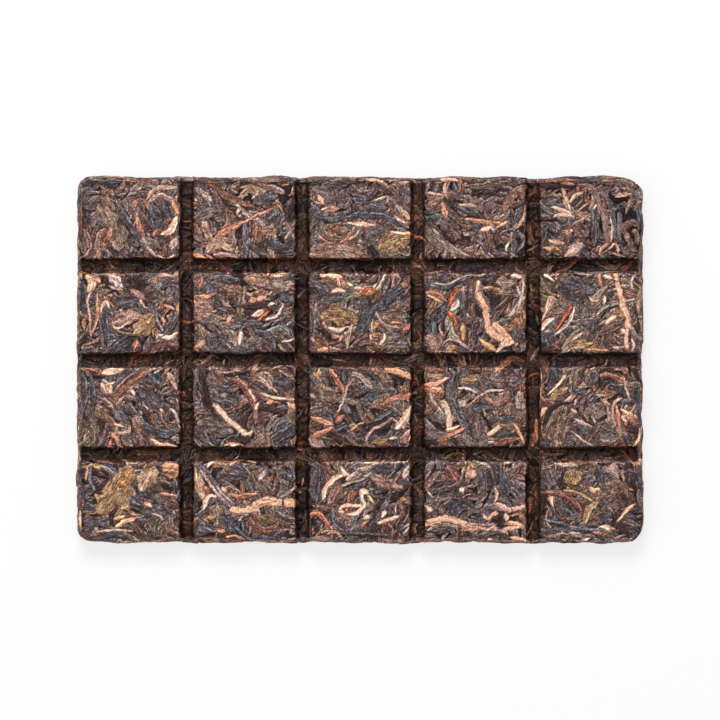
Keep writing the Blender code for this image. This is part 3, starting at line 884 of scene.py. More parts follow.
        ("slate strip", 2, (-4.4, -1.6), (-2.4, -5), (0.8, -9.6)),
        ("cream hair", 0.6, (-12.6, 5), (-11.8, 2), (-10, -0.2)),
        ("white strip", 0.7, (-11.8, 1.2), (-9.6, -0.8), (-8.6, -2.6)),
        ("tan strip", 1, (-10, 1.4), (-8.6, 1.6), (-7.2, 0.2)),
        ("cream plain", 1.7, (-9.6, 1), (-8, 0), (-7.2, -3), (-7.2, -6.2)),
        ("cream taper", 1.6, (-8, -6.2), (-6.4, -6), (-4.2, -4.8)),
        ("salmon strip", 1.4, (-2.7, -5.5), (-6, -7), (-9, -8.4), (-10.8, -9.6)),
        ("dark lens", 1.2, (-7.6, -8.8), (-4.2, -9.8)), ("mustard blob", 3.2, (-4.2, 7), (0.6, 7.6)),
        ("cream strip", 0.6, (-4.9, 5.3), (-2, 5.2), (0.5, 4.1)),
        ("tan strip", 0.7, (-1, 1.3), (1.6, 3.6), (5, 4.8), (8, 4.8)),
        ("white lens", 1.8, (-4.6, 1.7), (-2.4, 0.2)), ("salmon ribbed", 1.3, (2.5, 2.9), (4.9, 1.1)),
        ("blue blob", 3, (-1, -0.4), (5, 0)), ("grey blob", 4, (4, 8), (9.4, 7)),
        ("cream plain", 1.4, (3.3, -7.5), (7, -5.1)), ("blue blob", 2.4, (6, -7.6), (9.8, -6.6)),
        ("rust blob", 2.2, (5, -9.9), (12.2, -8.6)),
        ("orange strip", 0.9, (10.2, -4.2), (12, -7), (13.3, -10)),
        ("taupe blob", 3.2, (12, 4.4), (12, -1.6)), ("peach strip", 1.4, (15.8, -7), (15.4, -11)),
    ),
    (5, 3): (
        ("tan strip", 1, (-14, 11), (-13.7, 7), (-14, 0)), ("peach strip", 1.4, (-15, -3), (-15.2, -10)),
        ("peach lens", 1.7, (-14, -2.6), (-12, 0.2)), ("mustard blob", 2.8, (-11.2, 2.2), (-6.6, 5.2)),
        ("peach taper", 1.1, (-6.9, 8.7), (-9.6, 5.4), (-12, 3.2)),
        ("olive blob", 6, (-7.6, 0.6), (-9, -4.6), (-9.2, -11)),
        ("dark strip", 1.4, (-6.2, 1.4), (-9.6, 0.4), (-12, -2.6), (-13, -6.6)),
        ("blue strip", 1.8, (0.8, 9.6), (1, 6.6)), ("blue blob", 1.9, (-5.2, 3.8), (-1.2, 4.6)),
        ("grey blob", 4.4, (-0.6, 0.6), (4, -1.6)), ("cream lens", 0.9, (-5.6, -0.3), (-3.8, -1.5)),
        ("white ribbed", 1.1, (-4.6, -2.9), (-2, -4.4), (0.4, -5.3)),
        ("pink strip", 0.6, (-5.9, -6), (-3, -8.6), (0.8, -10.8)),
        ("pink strip", 0.9, (5.9, 0.4), (5.8, -2.6), (6, -4.9)),
        ("salmon strip", 1.4, (7.1, -0.2), (7.4, -3), (7.7, -6.4)),
        ("cream strip", 1, (8.5, -2.2), (8.9, -3.4), (10, -3.9)),
        ("apricot strip", 1.2, (8.3, -0.4), (11, -2.2), (13.5, -2.7)),
        ("orange strip", 1.4, (9.3, -1.8), (11, -3.4), (12.6, -5.2)),
        ("peach strip", 0.8, (10.4, -1), (12, -2.4)),
        ("peach strip", 1, (13.9, -4.6), (13.1, -8.4), (11.4, -11)),
        ("pink strip", 0.8, (8.8, 8.6), (9.4, 5), (11, 1.8)), ("blue blob", 2.6, (9, -8), (10.4, -10)),
    ),
    (1, 4): (
        ("mustard blob", 9, (-8.6, -3), (-4, 2), (0.6, 9.6)), ("amber blob", 3, (-3, 4), (1, 9)),
        ("tan blob", 5, (3, 3), (7.2, 9.4)), ("amber blob", 5, (9.4, 8.4), (13.8, 8)),
        ("apricot lens", 2, (8.8, 9.6), (13.8, 10)), ("orange strip", 1.1, (-11.4, 10), (-11.6, 5.8)),
        ("blue strip", 1.3, (-10.3, 9.8), (-10.4, 5.4), (-8.9, 2.8)),
        ("amber lens", 1.3, (-9.6, 9.8), (-7.6, 9)), ("dark strip", 0.9, (-5, 6.8), (-9, 2.6)),
        ("salmon strip", 1.1, (-13.3, 2), (-12.4, -1.6)), ("blue blob", 2.8, (-12.2, -5.2), (-8.4, -6.4)),
        ("tan strip", 1, (-13.4, -1.8), (-13, -7.4)),
        ("dark strip", 1, (-3, -1), (-4.8, -4), (-4.8, -6), (-3.4, -7.1)),
        ("apricot strip", 1.1, (-4.3, -4.7), (-1, -3.7)),
        ("apricot strip", 1.5, (-3.8, -7), (-1, -5.4), (1.8, -4.4)),
        ("pink strip", 1, (-9, -8.4), (-5, -7.8), (1.2, -8)), ("slate blob", 6, (4, -3), (11, -4)),
        ("umber blob", 4, (9, 0.4), (13.2, -1.4)), ("peach lens", 1.5, (4, -0.1), (6.6, -1.5)),
        ("white strip", 0.5, (5.8, -3.3), (8, -3.8), (9.5, -5.2)),
        ("salmon strip", 1, (8.4, 2.6), (13.6, 1.3)), ("blue strip", 1.6, (12.4, 6.2), (13, 2.8)),
        ("dark lens", 1.8, (9, 4.8), (11.6, 3.4)),
    ),
    (2, 4): (
        ("tan blob", 2.8, (-13.6, 9.4), (-12.4, 4), (-11.4, 0.8)),
        ("salmon lens", 1.5, (-11.3, 4.3), (-9.6, 2.5)),
        ("slate strip", 2.6, (-12, 10.2), (-8, 4), (-4.2, -0.8), (-1.2, -2.2)),
        ("white strip", 0.7, (-13, 10), (-9.6, 5.2), (-6.2, 0.8), (-2.8, -2)),
        ("white strip", 0.6, (-7.8, 4.6), (-5.8, 1.8), (-2.8, -0.8)),
        ("white hair", 0.5, (-11.4, 8.6), (-7.6, 2.6), (-4.4, -0.8)),
        ("salmon strip", 1.5, (-5, 1.8), (-1, 1.6), (4, 2.2)),
        ("peach plain", 2, (-4, -2), (0, -2.3), (3.8, -1.9)),
        ("peach plain", 2.4, (2.2, -1.4), (5.6, 0.2), (10, -0.2), (15, -0.4)),
        ("peach plain", 1.2, (4.6, 0.6), (6.6, 0.9), (9, 0.6)),
        ("cream strip", 1.3, (-7.7, 1.3), (-9.4, 1.6), (-10.4, 0.4), (-11.2, -2.2)),
        ("peach lens", 1.3, (-6.1, 4.1), (-5.1, 2.4)), ("slate blob", 3.4, (-4, 8), (1, 7)),
        ("white ribbed", 2, (5.7, 8.6), (4.1, 5.8)), ("blue blob", 3.4, (10, 9), (12.8, 6)),
        ("peach strip", 1.1, (-10.3, 9.4), (-8.4, 10.8), (-7, 11)),
        ("peach strip", 0.9, (-4.2, 9.9), (-1.6, 11.3)), ("apricot strip", 1, (0.4, 11.4), (3.2, 10.8)),
        ("orange strip", 0.9, (-5.6, -9.8), (-2.6, -9.5), (0.2, -10.4)),
        ("amber lens", 1.3, (-7.8, -7.8), (-5.4, -8.2)), ("amber lens", 1.4, (-10.4, -4.6), (-7.8, -4)),
    ),
    (3, 4): (
        ("slate strip", 3, (-11.4, 9), (-12.4, 4), (-12, -0.6)),
        ("clay lens", 3, (-5.2, 5.6), (-7.4, 1.8), (-8.8, -1.4)),
        ("peach strip", 1.7, (-4.2, 7.7), (-7.4, 5.8), (-9.4, 3.4), (-10, 0.4)),
        ("cream strip", 1.3, (-5.5, 9.8), (-4.8, 8.2), (-2.8, 7.2)),
        ("taupe strip", 1.7, (-1.2, 8.6), (2, 9), (5.2, 10.6)),
        ("peach strip", 0.9, (0.8, 10.6), (5.2, 10.9)), ("cream strip", 0.7, (7.8, 10.5), (12.8, 11)),
        ("blue lens", 3, (3.4, 8.7), (9.6, 8.8)), ("clay blob", 3.6, (3, 7), (7, 5), (11.8, 3.7)),
        ("white ribbed", 2, (13.4, 10), (11.7, 6.2)),
        ("slate strip", 1.9, (8.4, 3.2), (7.4, 0), (5.4, -3.4), (2.4, -6.8)),
        ("peach strip", 1.1, (-6, -2.5), (-4.8, -1.5), (0.8, -1.4)),
        ("cream strip", 1.3, (0, 3), (0.4, 1.2), (1, -1), (-0.4, -2.8), (-4, -3.6)),
        ("cream lens", 1.9, (0, 3.4), (2.3, 2.2)), ("peach strip", 0.8, (2, 2), (3.8, -0.4)),
        ("cream hair", 0.6, (-6.1, -2.6), (-4.2, -3)), ("cream lens", 1.4, (0.9, -4.7), (2.8, -4.1)),
        ("salmon lens", 1.2, (-0.4, -7.4), (2, -5.4)),
        ("salmon strip", 1.4, (-13.9, -3.6), (-11.4, -3.6), (-9.6, -5.4), (-7.2, -7.8)),
        ("peach taper", 1.5, (6.9, -2.6), (5.5, -5.2)),
        ("peach strip", 1.1, (4.6, -6.1), (7.4, -5), (10.8, -4.1)),
        ("amber lens", 1.3, (10.8, 1), (13, 0.6)),
        ("tan strip", 1.1, (-9, -9.1), (-6.8, -8.3), (-4.6, -10)),
        ("amber strip", 0.7, (-10.8, -8.4), (-7, -8)),
        ("slate strip", 1.4, (-5.8, -8.4), (0, -9), (8.4, -9)),
    ),
    (4, 4): (
        ("slate blob", 6, (2.4, 9), (3.4, 3)), ("blue strip", 2.4, (6.6, 10), (7.2, 6), (9, 1.6)),
        ("red blob", 4.4, (-7.8, 9.6), (-5.2, 5.4)),
        ("tan strip", 0.7, (-14.2, 5.8), (-13.4, 3), (-11.8, 0.8)),
        ("white lens", 1.1, (-3.9, 7.9), (-2.7, 9.6)), ("amber strip", 0.9, (-1.6, 10.2), (-2.7, 6.4)),
        ("peach blob", 2.2, (-2.5, 7.7), (0.4, 7.1)), ("cream lens", 1.4, (-4.3, 2.5), (-2.9, 3.7)),
        ("pink strip", 1.2, (5.1, 4.2), (5.9, 2.2), (5, -0.6)),
        ("peach lens", 1.3, (-13.7, -1.8), (-11.9, -2.5)),
        ("taupe strip", 1.5, (-13, -7.8), (-9.6, -6.4), (-5, -6.6)),
        ("peach plain", 1.8, (-14, -6.4), (-11, -5.3), (-7.8, -4.5), (-4.6, -5.5), (-2.2, -6.5)),
        ("tan strip", 0.9, (-3, -6.4), (0, -7), (4.6, -7.2), (5.7, -6)),
        ("orange strip", 0.9, (-4.6, -7.8), (1.2, -7.6)), ("slate lens", 2.2, (-12.2, -8.3), (-6.4, -7.9)),
        ("peach taper", 1.3, (3.8, -5), (2.8, -4.6), (1.9, -3.2)),
        ("peach plain", 1.2, (3.4, -4.9), (5.9, -2.9)), ("cream ribbed", 1.6, (7.9, -3), (8.9, -5.6)),
        ("apricot strip", 1.4, (7.8, -5.9), (10.6, -5.9), (13.2, -6.6)),
        ("peach strip", 1.3, (7.6, -7.3), (12.4, -7)),
        ("apricot strip", 1.2, (9.4, -9.8), (12, -10.2), (14, -10.9)),
        ("cream lens", 1, (3, -10.6), (5, -10.8)), ("cream lens", 0.8, (8, 10.6), (9.8, 10.8)),
        ("orange strip", 1.3, (15.2, 1.2), (15, -3.2)),
    ),
    (5, 4): (
        ("grey blob", 3.4, (-11.4, 8.6), (-10, 4.4)), ("mustard blob", 4.8, (-6, 9), (-4.4, 4.8)),
        ("taupe blob", 1.8, (-9.4, 10.2), (-3.6, 10)), ("mustard strip", 1.1, (-8, 3), (-4, 2.6), (0.6, 0)),
        ("red strip", 2, (-13.6, 2.5), (-9, 2.2), (-5.4, 0.4), (-2, -4)),
        ("mustard strip", 2, (1.8, 0.2), (-0.6, -2), (-1.6, -6)),
        ("peach taper", 2, (-11.2, 1.4), (-10.8, 0), (-10.3, -1.6)),
        ("slate blob", 3, (-8.4, -1), (-4.8, -3.6)), ("vivid lens", 1.3, (-8.4, -4.6), (-6.6, -4.6)),
        ("slate strip", 1.5, (-13.2, -4.7), (-8, -6.2), (-2, -7.8), (3.4, -7.6)),
        ("cream taper", 1.8, (5.4, -7.6), (4, -7.1), (2, -7)),
        ("orange strip", 0.9, (0.2, -8.4), (4.8, -8.8)),
        ("taupe ribbed", 2, (-13, -9.4), (-6, -9.4), (1.4, -9.4)),
        ("apricot strip", 1.5, (-0.7, 4), (0.6, 2.7), (2.6, 3.6)),
        ("blue strip", 1.9, (2, 9.6), (2.4, 6), (3.7, 2.8)), ("slate blob", 3, (10.6, 9), (10.4, 5.6)),
        ("orange strip", 1.5, (12, 11), (13.5, 8.4)),
        ("apricot strip", 1, (11.8, -0.4), (9.4, -3), (7, -5.6)),
        ("umber blob", 4.4, (6.6, 1.6), (9.4, -1.6)), ("blue blob", 2, (2.6, -5.4), (6, -5)),
        ("orange strip", 1.6, (-15, 2.6), (-14.6, -0.2)), ("cream strip", 0.7, (6.2, -9.9), (9.6, -9.1)),
    ),
}
# The larger leaves that stand clear of the skin in the loosely pressed corner, from the last tile's middle.
CORNER_LEAVES = (
    ("brown strip", 2.4, (-3.6, 9.2), (0, 8.4), (1.8, 5.6), (3, 2)),
    ("clay strip", 2.6, (1.8, 5), (3.2, 1.6), (4.3, -2.4), (4.6, -6.8)),
    ("cream strip", 0.9, (5.2, 0.6), (5.7, -2), (5.4, -6.4)),
    ("mauve strip", 1.3, (1.4, 8.6), (3, 6.8), (4.8, 5), (5.2, 2.4)),
    ("slate stem", 1.6, (6, 3.4), (6.2, 0), (6.6, -6.4)),
    ("grey stem", 1.7, (7.7, 3), (7.9, -1), (7.5, -6.6)),
    ("clay strip", 1.5, (11.2, 7.6), (10.6, 5.4), (10.2, 3.4), (9.3, 1.2)),
    ("pink strip", 0.9, (5.8, 6.2), (7.2, 7.8), (6.3, 9)),
    ("peach strip", 0.8, (6.4, 5.8), (8.4, 6.1), (11.4, 7)),
    ("slate strip", 1.3, (12.9, 4.2), (13.4, 0.4), (13.4, -3.8)),
    ("grey strip", 1.9, (12.2, 8), (13, 6), (12.7, 4.4)),
    ("brown stem", 1.9, (9.1, -2.2), (9.9, -4.8), (11, -7.4)),
    ("rust strip", 2.3, (8.8, -3.4), (9.6, -1.6), (11.4, -1.1), (13, -2.4)),
    ("brown stem", 2.0, (11.4, -3), (12.6, -4.6), (13, -6.8)),
    ("brown strip", 1.9, (7.2, 10.2), (9.8, 10), (12.2, 8.9)),
    ("mauve strip", 1.4, (7.2, 8.7), (9.4, 8.6), (11.8, 8.2)),
    ("clay strip", 1.2, (0.6, 10.9), (3.2, 11.1), (6.2, 10.5)),
)
ACCENT_LOOKS = {
    "strip": Look(bulge=0.13, streak=0.40, mottle=0.24, ragged=0.35, edge=0.25, shade=0.5),
    "stem": Look("stem", bulge=0.14, streak=0.26, mottle=0.16, ragged=0.24, shade=0.4),
    "lens": Look("lens", bulge=0.12, streak=0.34, mottle=0.22, ragged=0.35, shade=0.4),
    "taper": Look("taper", bulge=0.12, streak=0.34, mottle=0.22, ragged=0.30, edge=0.25, shade=0.4),
    "blob": Look("blob", bulge=0.10, veins=0.8, streak=0.42, mottle=0.45, ragged=0.50, shade=0.4),
    "hair": Look("hair", bulge=0.08, streak=0.20, mottle=0.20, ragged=0.40, shade=0.2),
    "ribbed": Look("lens", bulge=0.13, wrinkle=0.12, streak=0.75, mottle=0.20, ragged=0.35, edge=0.25,
                   shade=0.5),
    "plain": Look("stem", bulge=0.14, wrinkle=0.03, streak=0.10, mottle=0.10, ragged=0.30, shade=0.4),
}


def scatter(plan, flow, kind):
    """The leaves of one kind, at random over the plan."""
    make, count, lengths, widths, stray = kind
    x, y = plan.rng.uniform(0, plan.size[0], count), plan.rng.uniform(0, plan.size[1], count)
    spines = flowing_spines(plan.rng, flow, x, y, plan.rng.uniform(*lengths, count), stray)
    return [(spine, width, make) for spine, width in zip(spines, plan.rng.uniform(*widths, count))]


def lay_crowd(plan, flow):
    """Covers the plan: broad leaves at the bottom, then everything else in a random order, ever less deep."""
    for spine, width, make in scatter(plan, flow, UNDERLAY):
        plan.lay(spine, width, *make(plan.rng), depth=plan.rng.uniform(*UNDERLAY_DEPTHS))
    crowd = [leaf for kind in CROWD for leaf in scatter(plan, flow, kind)]
    for k, leaf in enumerate(plan.rng.permutation(len(crowd))):
        spine, width, make = crowd[leaf]
        depth = CROWD_DEPTH * (1 - k / len(crowd)) ** 1.3
        plan.lay(spine, width, *make(plan.rng), depth=depth * plan.rng.uniform(0.5, 1.3))


def lay_accents(plan):
    """The leaves that stand out, in the order of the table."""
    for (column, row), leaves in ACCENTS.items():
        for name, width, *points in leaves:
            colour, kind = name.split()
            spine = curve_through([tile_point(column, row, *point) for point in points])
            plan.lay(spine, width, COLOURS[colour], ACCENT_LOOKS[kind])


def lay_stragglers(plan, flow):
    """A few thin leaves across the ones that stand out."""
    for kind in STRAGGLERS:
        for spine, width, make in scatter(plan, flow, kind):
            plan.lay(spine, width, *make(plan.rng))


# ---------------------------------------------------------------- the skin's shape

def stretch_steps(bounds, tile_steps):
    """Steps in each stretch of PLACE_X or PLACE_Y: a tile, then the wall, floor and wall of each groove."""
    groove = [WALL_STEPS, FLOOR_STEPS, WALL_STEPS, tile_steps]
    return [tile_steps] + groove * (len(bounds) - 1)


def skin_lines(places, steps):
    """Where the mesh's lines lie along one axis: so many even steps in each stretch."""
    lines = [np.linspace(a, b, n, endpoint=False) for a, b, n in zip(places[:-1], places[1:], steps)]
    return np.concatenate(lines + [places[-1:]])


STEPS_X = stretch_steps(COLUMN_BOUNDS, TILE_STEPS_X)
STEPS_Y = stretch_steps(ROW_BOUNDS, TILE_STEPS_Y)
LINES_X = skin_lines(PLACE_X, STEPS_X)
LINES_Y = skin_lines(PLACE_Y, STEPS_Y)


def groove_middles(steps):
    """The index of the line along the middle of each groove."""
    ends = np.cumsum(steps)
    return [int(ends[k] - FLOOR_STEPS // 2) for k in range(2, len(steps), 4)]


def past_corner(x, y, sides, radius):
    """How far points lie out past the centre of one of the top's round corners, along each axis."""
    return x * sides[0] - top_half(LENGTH) + radius, y * sides[1] - top_half(WIDTH) + radius


def in_outline(x, y):
    """Draws the square grid's corners in to the brick's round ones."""
    half_x, half_y = top_half(LENGTH), top_half(WIDTH)
    for (side_x, side_y), radius in CORNER_RADII.items():
        off_x, off_y = past_corner(x, y, (side_x, side_y), radius)
        corner = (off_x > 0) & (off_y > 0)
        pull = np.maximum(off_x, off_y) / np.maximum(np.hypot(off_x, off_y), 1e-9)
        x, y = (np.where(corner, side_x * (half_x - radius + off_x * pull), x),
                np.where(corner, side_y * (half_y - radius + off_y * pull), y))
    return x, y


def outwards(x, y):
    """The outline's outward direction at points on the rim of the top."""
    direction = np.zeros((len(x), 2))
    for (side_x, side_y), radius in CORNER_RADII.items():
        off_x, off_y = past_corner(x, y, (side_x, side_y), radius)
        here = (x * side_x > 0) & (y * side_y > 0)
        direction[here, 0] = (side_x * np.maximum(off_x, 0))[here]
        direction[here, 1] = (side_y * np.maximum(off_y, 0))[here]
    return direction / np.hypot(*direction.T)[:, None]


def normals_of(points):
    """Unit normals of a grid of points, rows first, on the side that faces up where columns run along X."""
    normal = np.cross(np.gradient(points, axis=1), np.gradient(points, axis=0))
    return normal / np.maximum(np.linalg.norm(normal, axis=-1, keepdims=True), 1e-12)


def normals_round(points):
    """Outward unit normals of a grid of points whose columns run round the brick and meet."""
    closed = np.concatenate([points[:, -1:], points, points[:, :1]], 1)
    return -normals_of(closed)[:, 1:-1]


def sample(picture, x, y):
    """The picture's values at places on the plan, in millimetres, between its cells."""
    column, row = x / CELL - 0.5, y / CELL - 0.5
    left = np.clip(np.floor(column).astype(int), 0, picture.shape[1] - 2)
    low = np.clip(np.floor(row).astype(int), 0, picture.shape[0] - 2)
    across, up = np.clip(column - left, 0, 1), np.clip(row - low, 0, 1)
    if picture.ndim > 2:
        across, up = across[..., None], up[..., None]
    bottom = picture[low, left] * (1 - across) + picture[low, left + 1] * across
    top = picture[low + 1, left] * (1 - across) + picture[low + 1, left + 1] * across
    return bottom * (1 - up) + top * up


def nearest(picture, x, y):
    """The value of the picture's cell at each place."""
    column = np.clip((x / CELL).astype(int), 0, picture.shape[1] - 1)
    row = np.clip((y / CELL).astype(int), 0, picture.shape[0] - 1)
    return picture[row, column]


class Pressed:
    """A finished plan, ready to be read at any place: its relief, its colour and its grain."""

    SHARP = 0.85      # how much of each cell's own colour is kept against its neighbours'
    # Painted shade darkens hollows and a painted highlight lightens ridges, at two sizes: how wide, how
    # strongly, and the most that either gets.
    HOLLOW_SHADE = ((0.3, 4.5, -1.6, 0.6), (0.9, 2.0, -0.9, 0.4))
    SPECKS = 0.26     # how far single cells stray in lightness
    MIDDLE = linear(118, 96, 88)    # the colour that contrast is stretched around
    LUMINANCE = np.array([0.2126, 0.7152, 0.0722])
    DARKER = np.array([0.52, 0.84, 0.88])    # how much further dark colours are drawn from it, red least
    PALER = 0.05                             # and pale ones

    def __init__(self, plan):
        height = plan.field("height")
        shade = 1
        # Painted shade in the hollows and a painted highlight on the ridges.
        for size, strength, darkest, lightest in self.HOLLOW_SHADE:
            shade = shade * np.exp(np.clip(strength * (height - blur(height, size)), darkest, lightest))
        speck = box_blur(plan.rng.normal(0, 3, height.shape).astype(np.float32), 1)
        colour = plan.field("colour") * (shade * np.exp(self.SPECKS * speck))[..., None]
        light = (colour @ self.LUMINANCE / (self.MIDDLE @ self.LUMINANCE))[..., None]
        colour *= SKIN_SHADE * light ** np.where(light < 1, self.DARKER, self.PALER)
        self.colour = self.SHARP * colour + (1 - self.SHARP) * box_blur(colour, 1)
        self.height = box_blur(height, 1)
        self.grain = plan.field("grain")


def groove_places():
    """How far each vertex of the top lies past its tile's edge, and 1 where that is the tile's back edge."""
    past_x, past_y = past_corners(LINES_X, COLUMN_BOUNDS), past_corners(LINES_Y, ROW_BOUNDS)
    beyond = np.hypot(past_x[None, :], past_y[:, None]) - TILE_CORNER
    return beyond, smooth(past_y / TILE_CORNER)[:, None] + 0 * beyond


@dataclass
class Sheet:
    """A grid of the skin's vertices, rows first."""

    points: np.ndarray
    colour: np.ndarray
    grain: np.ndarray


# How far the skin strays sideways from the smooth mould, how long its waves are, and a seed.
TILE_WANDER = (0.16, 4.0, 11)
GROOVE_WANDER = (0.09, 1.3, 23)
OUTLINE_WANDER = (0.30, 8.0, 31)
# How far it strays up and down, and how long those waves are.
FACE_SWAY, FACE_WAVE = 0.05, 6
GROOVE_SWAY, GROOVE_WAVE = 0.12, 1.7
# How strongly the leaves' relief is taken up: on the face, how much more in the loose corner and in a
# groove, and on the sides. Then the lowest and highest it gets on the top, and the deepest on the underside.
RELIEF, LOOSE_RELIEF, GROOVE_RELIEF, SIDE_RELIEF = 1.3, 1.0, 0.5, 1.5
RELIEF_LIMITS = (-1.0, 0.14)
UNDER_RELIEF = 0.45
SIDE_RISE = 0.14      # added to the relief on the sides, so that it lies both in and out of them
SIDE_SWAY = 0.16      # how far the sides' layers stray in and out
RIM_FADE, FOOT_FADE = 0.6, 1.2    # how far below the rim and above the underside the sides' relief is full
UNDER_SKIM = 0.06     # hollows shallower than this don't show on the underside
# How the leaf's colour changes, in red, green and blue.
LIP_TINT = np.array([1.12, 1.0, 0.92])        # where it is rubbed, at a groove's lip
DEEP_SHADE = np.array([0.32, 0.22, 0.155])     # painted shade at the bottom of a groove
SIDE_TINT = np.array([1.38, 1.2, 1.08])       # on the sides
SIDE_TINT_FADE = 0.8                  # how far below the rim that is full
LIP_INSET, LIP_REACH = 0.32, 0.42     # where the rubbed lip lies on the tile, and how wide it is
WALL_SHADE = 0.45                     # painted shade: how much darker a groove's wall is where it faces away from the light, but not below a tile's back edge
EDGE_SHADE = 0.38                     # how much darker the face is just inside the brick's upper edge
EDGE_BAND, EDGE_FADE = 0.6, 1.4       # how wide that band is, and how far it takes to fade


def wander(noise, x, y, reach, wave, seed):
    """A smooth unevenness of the plan, the same for every vertex at a place."""
    return np.stack([reach * noise(x / wave + seed, y / wave + 3),
                     reach * noise(x / wave + 7, y / wave + seed)], -1)


def top_sheet(pressed, noise):
    """The brick's top: its uneven tiles and the grooves between them."""
    grid_x, grid_y = np.meshgrid(LINES_X, LINES_Y)
    x, y = in_outline(grid_x, grid_y)
    beyond, back = groove_places()
    fall = groove_fall(beyond / WALL_RUN)
    loose = looseness(x, y)
    face = THICKNESS - LOOSE_RISE * (1 - loose) - FACE_SWAY + FACE_SWAY * noise(x / FACE_WAVE, y / FACE_WAVE)
    z = face - GROOVE_DEPTH * fall + GROOVE_SWAY * fall * noise(x / GROOVE_WAVE, y / GROOVE_WAVE)
    on_wall = np.minimum(1, 4 * fall * (1 - fall) + 0.2)
    moved = np.stack([x, y], -1) + wander(noise, x, y, *TILE_WANDER)
    moved = moved + wander(noise, x, y, *GROOVE_WANDER) * on_wall[..., None]
    moved = moved + edge_wave(noise, x, y)
    points = np.stack([moved[..., 0], moved[..., 1], z], -1)
    plan_x, plan_y = to_plan(grid_x, grid_y)
    relief = sample(pressed.height, plan_x, plan_y)
    relief = np.clip(relief * (RELIEF + LOOSE_RELIEF * loose + GROOVE_RELIEF * fall), *RELIEF_LIMITS)
    points = points + normals_of(points) * relief[..., None]
    colour = groove_tint(sample(pressed.colour, plan_x, plan_y), beyond, fall, back)
    return Sheet(points, colour * edge_tint(x, y)[..., None], nearest(pressed.grain, plan_x, plan_y))


def from_edge(x, y):
    """How far inside the flat top's outline a point lies."""
    return np.minimum(top_half(LENGTH) - np.abs(x), top_half(WIDTH) - np.abs(y))


def edge_wave(noise, x, y):
    """The unevenness of the brick's outline, which dies away inside it."""
    wave = wander(noise, x, y, *OUTLINE_WANDER) * smooth(1 - from_edge(x, y) / 3)[..., None]
    swell = LOOSE_SWELL * np.exp(-((x - LOOSE_SWELL_X) / LOOSE_SWELL_REACH) ** 2)
    wave[..., 1] += swell * smooth(1 - (WIDTH / 2 - y) / 6)
    return wave


def groove_tint(colour, beyond, fall, back):
    """Leaf in the grooves is darker with painted shade. At their lips it is rubbed browner, and a painted
    highlight makes it paler along a tile's back edge, which faces the light.
    """
    lip = np.exp(-((beyond + LIP_INSET) / LIP_REACH) ** 2)[..., None]
    # Lips are rubbed browner. Along a tile's back edge, which faces the light, a painted highlight also makes
    # them paler.
    brown = LIP_TINT * (0.9 + 1.1 * back)[..., None]
    # Painted shade, darker towards a groove's floor and less so under a tile's back edge.
    deep = smooth(fall * (1.4 - 0.6 * back))[..., None]
    # Painted shade on the walls that face away from the light.
    wall = (1 - WALL_SHADE * (1 - back) * smooth(4 * fall * (1 - fall)))[..., None]
    return colour * wall * (1 - deep * (1 - DEEP_SHADE)) * (1 + lip * (brown - 1))


def edge_tint(x, y):
    """The face is darker in a narrow band inside the brick's upper edge."""
    return 1 - EDGE_SHADE * smooth(1 - (from_edge(x, y) - EDGE_BAND) / EDGE_FADE)


def rim_loop():
    """The top's outermost vertices, counterclockwise from above: rows, columns and the flap's direction."""
    last_row, last_column = len(LINES_Y) - 1, len(LINES_X) - 1
    front = [(0, c, 0, -1) for c in range(last_column)]
    right = [(r, last_column, 1, 0) for r in range(last_row)]
    back = [(last_row, c, 0, 1) for c in range(last_column, 0, -1)]
    left = [(r, 0, -1, 0) for r in range(last_row, 0, -1)]
    return np.array(front + right + back + left).T


def side_profile(height):
    """Each ring's reach outwards, height and distance down the side, from rim points of these heights."""
    turns = [math.pi / 2 * (k + 1) / EDGE_RINGS for k in range(EDGE_RINGS)]
    upper = [(UPPER_EDGE * math.sin(a), height - UPPER_EDGE * (1 - math.cos(a))) for a in turns]
    side_rings = SIDE_RINGS - 2 * EDGE_RINGS
    shares = [(k + 1) / side_rings for k in range(side_rings)]
    side = [(UPPER_EDGE + SIDE_DRAFT * t, (height - UPPER_EDGE) * (1 - t) + LOWER_EDGE * t) for t in shares]
    lower = [(EDGE_REACH - LOWER_EDGE * (1 - math.cos(a)), LOWER_EDGE * (1 - math.sin(a))) for a in turns]
    rings = [(0.0, height)] + upper + side + lower
    reach = np.array([np.broadcast_to(r, height.shape) for r, _ in rings])
    level = np.array([np.broadcast_to(z, height.shape) for _, z in rings])
    down = np.cumsum(np.hypot(np.diff(reach, axis=0), np.diff(level, axis=0)), axis=0)
    return reach, level, np.concatenate([np.zeros((1, len(height))), down])


def side_sheet(pressed, noise, top):
    """The brick's rounded edges and sides, from the rim of the top down to the underside."""
    rows, columns, flap_x, flap_y = rim_loop()
    rim = top.points[rows, columns]
    reach, level, down = side_profile(rim[:, 2])
    direction = outwards(*in_outline(LINES_X[columns], LINES_Y[rows]))
    plan_x, plan_y = to_plan(LINES_X[columns], LINES_Y[rows])
    plan_x = plan_x + flap_x * down
    plan_y = plan_y + flap_y * down
    points = np.concatenate([rim[None, :, :2] + direction * reach[..., None], level[..., None]], -1)
    relief = sample(pressed.height, plan_x, plan_y) + SIDE_RISE
    relief = relief * SIDE_RELIEF + SIDE_SWAY * noise(plan_x / 2.5, plan_y / 1.2)
    relief *= smooth(down / RIM_FADE) * smooth(level / FOOT_FADE)
    points = points + normals_round(points) * relief[..., None]
    points[-1, 1::2] = (points[-1, 0::2] + np.roll(points[-1, 0::2], -1, axis=0)) / 2
    tint = 1 + (SIDE_TINT - 1) * smooth(down / SIDE_TINT_FADE)[..., None]
    colour = sample(pressed.colour, plan_x, plan_y) * tint
    return Sheet(points, colour, nearest(pressed.grain, plan_x, plan_y))


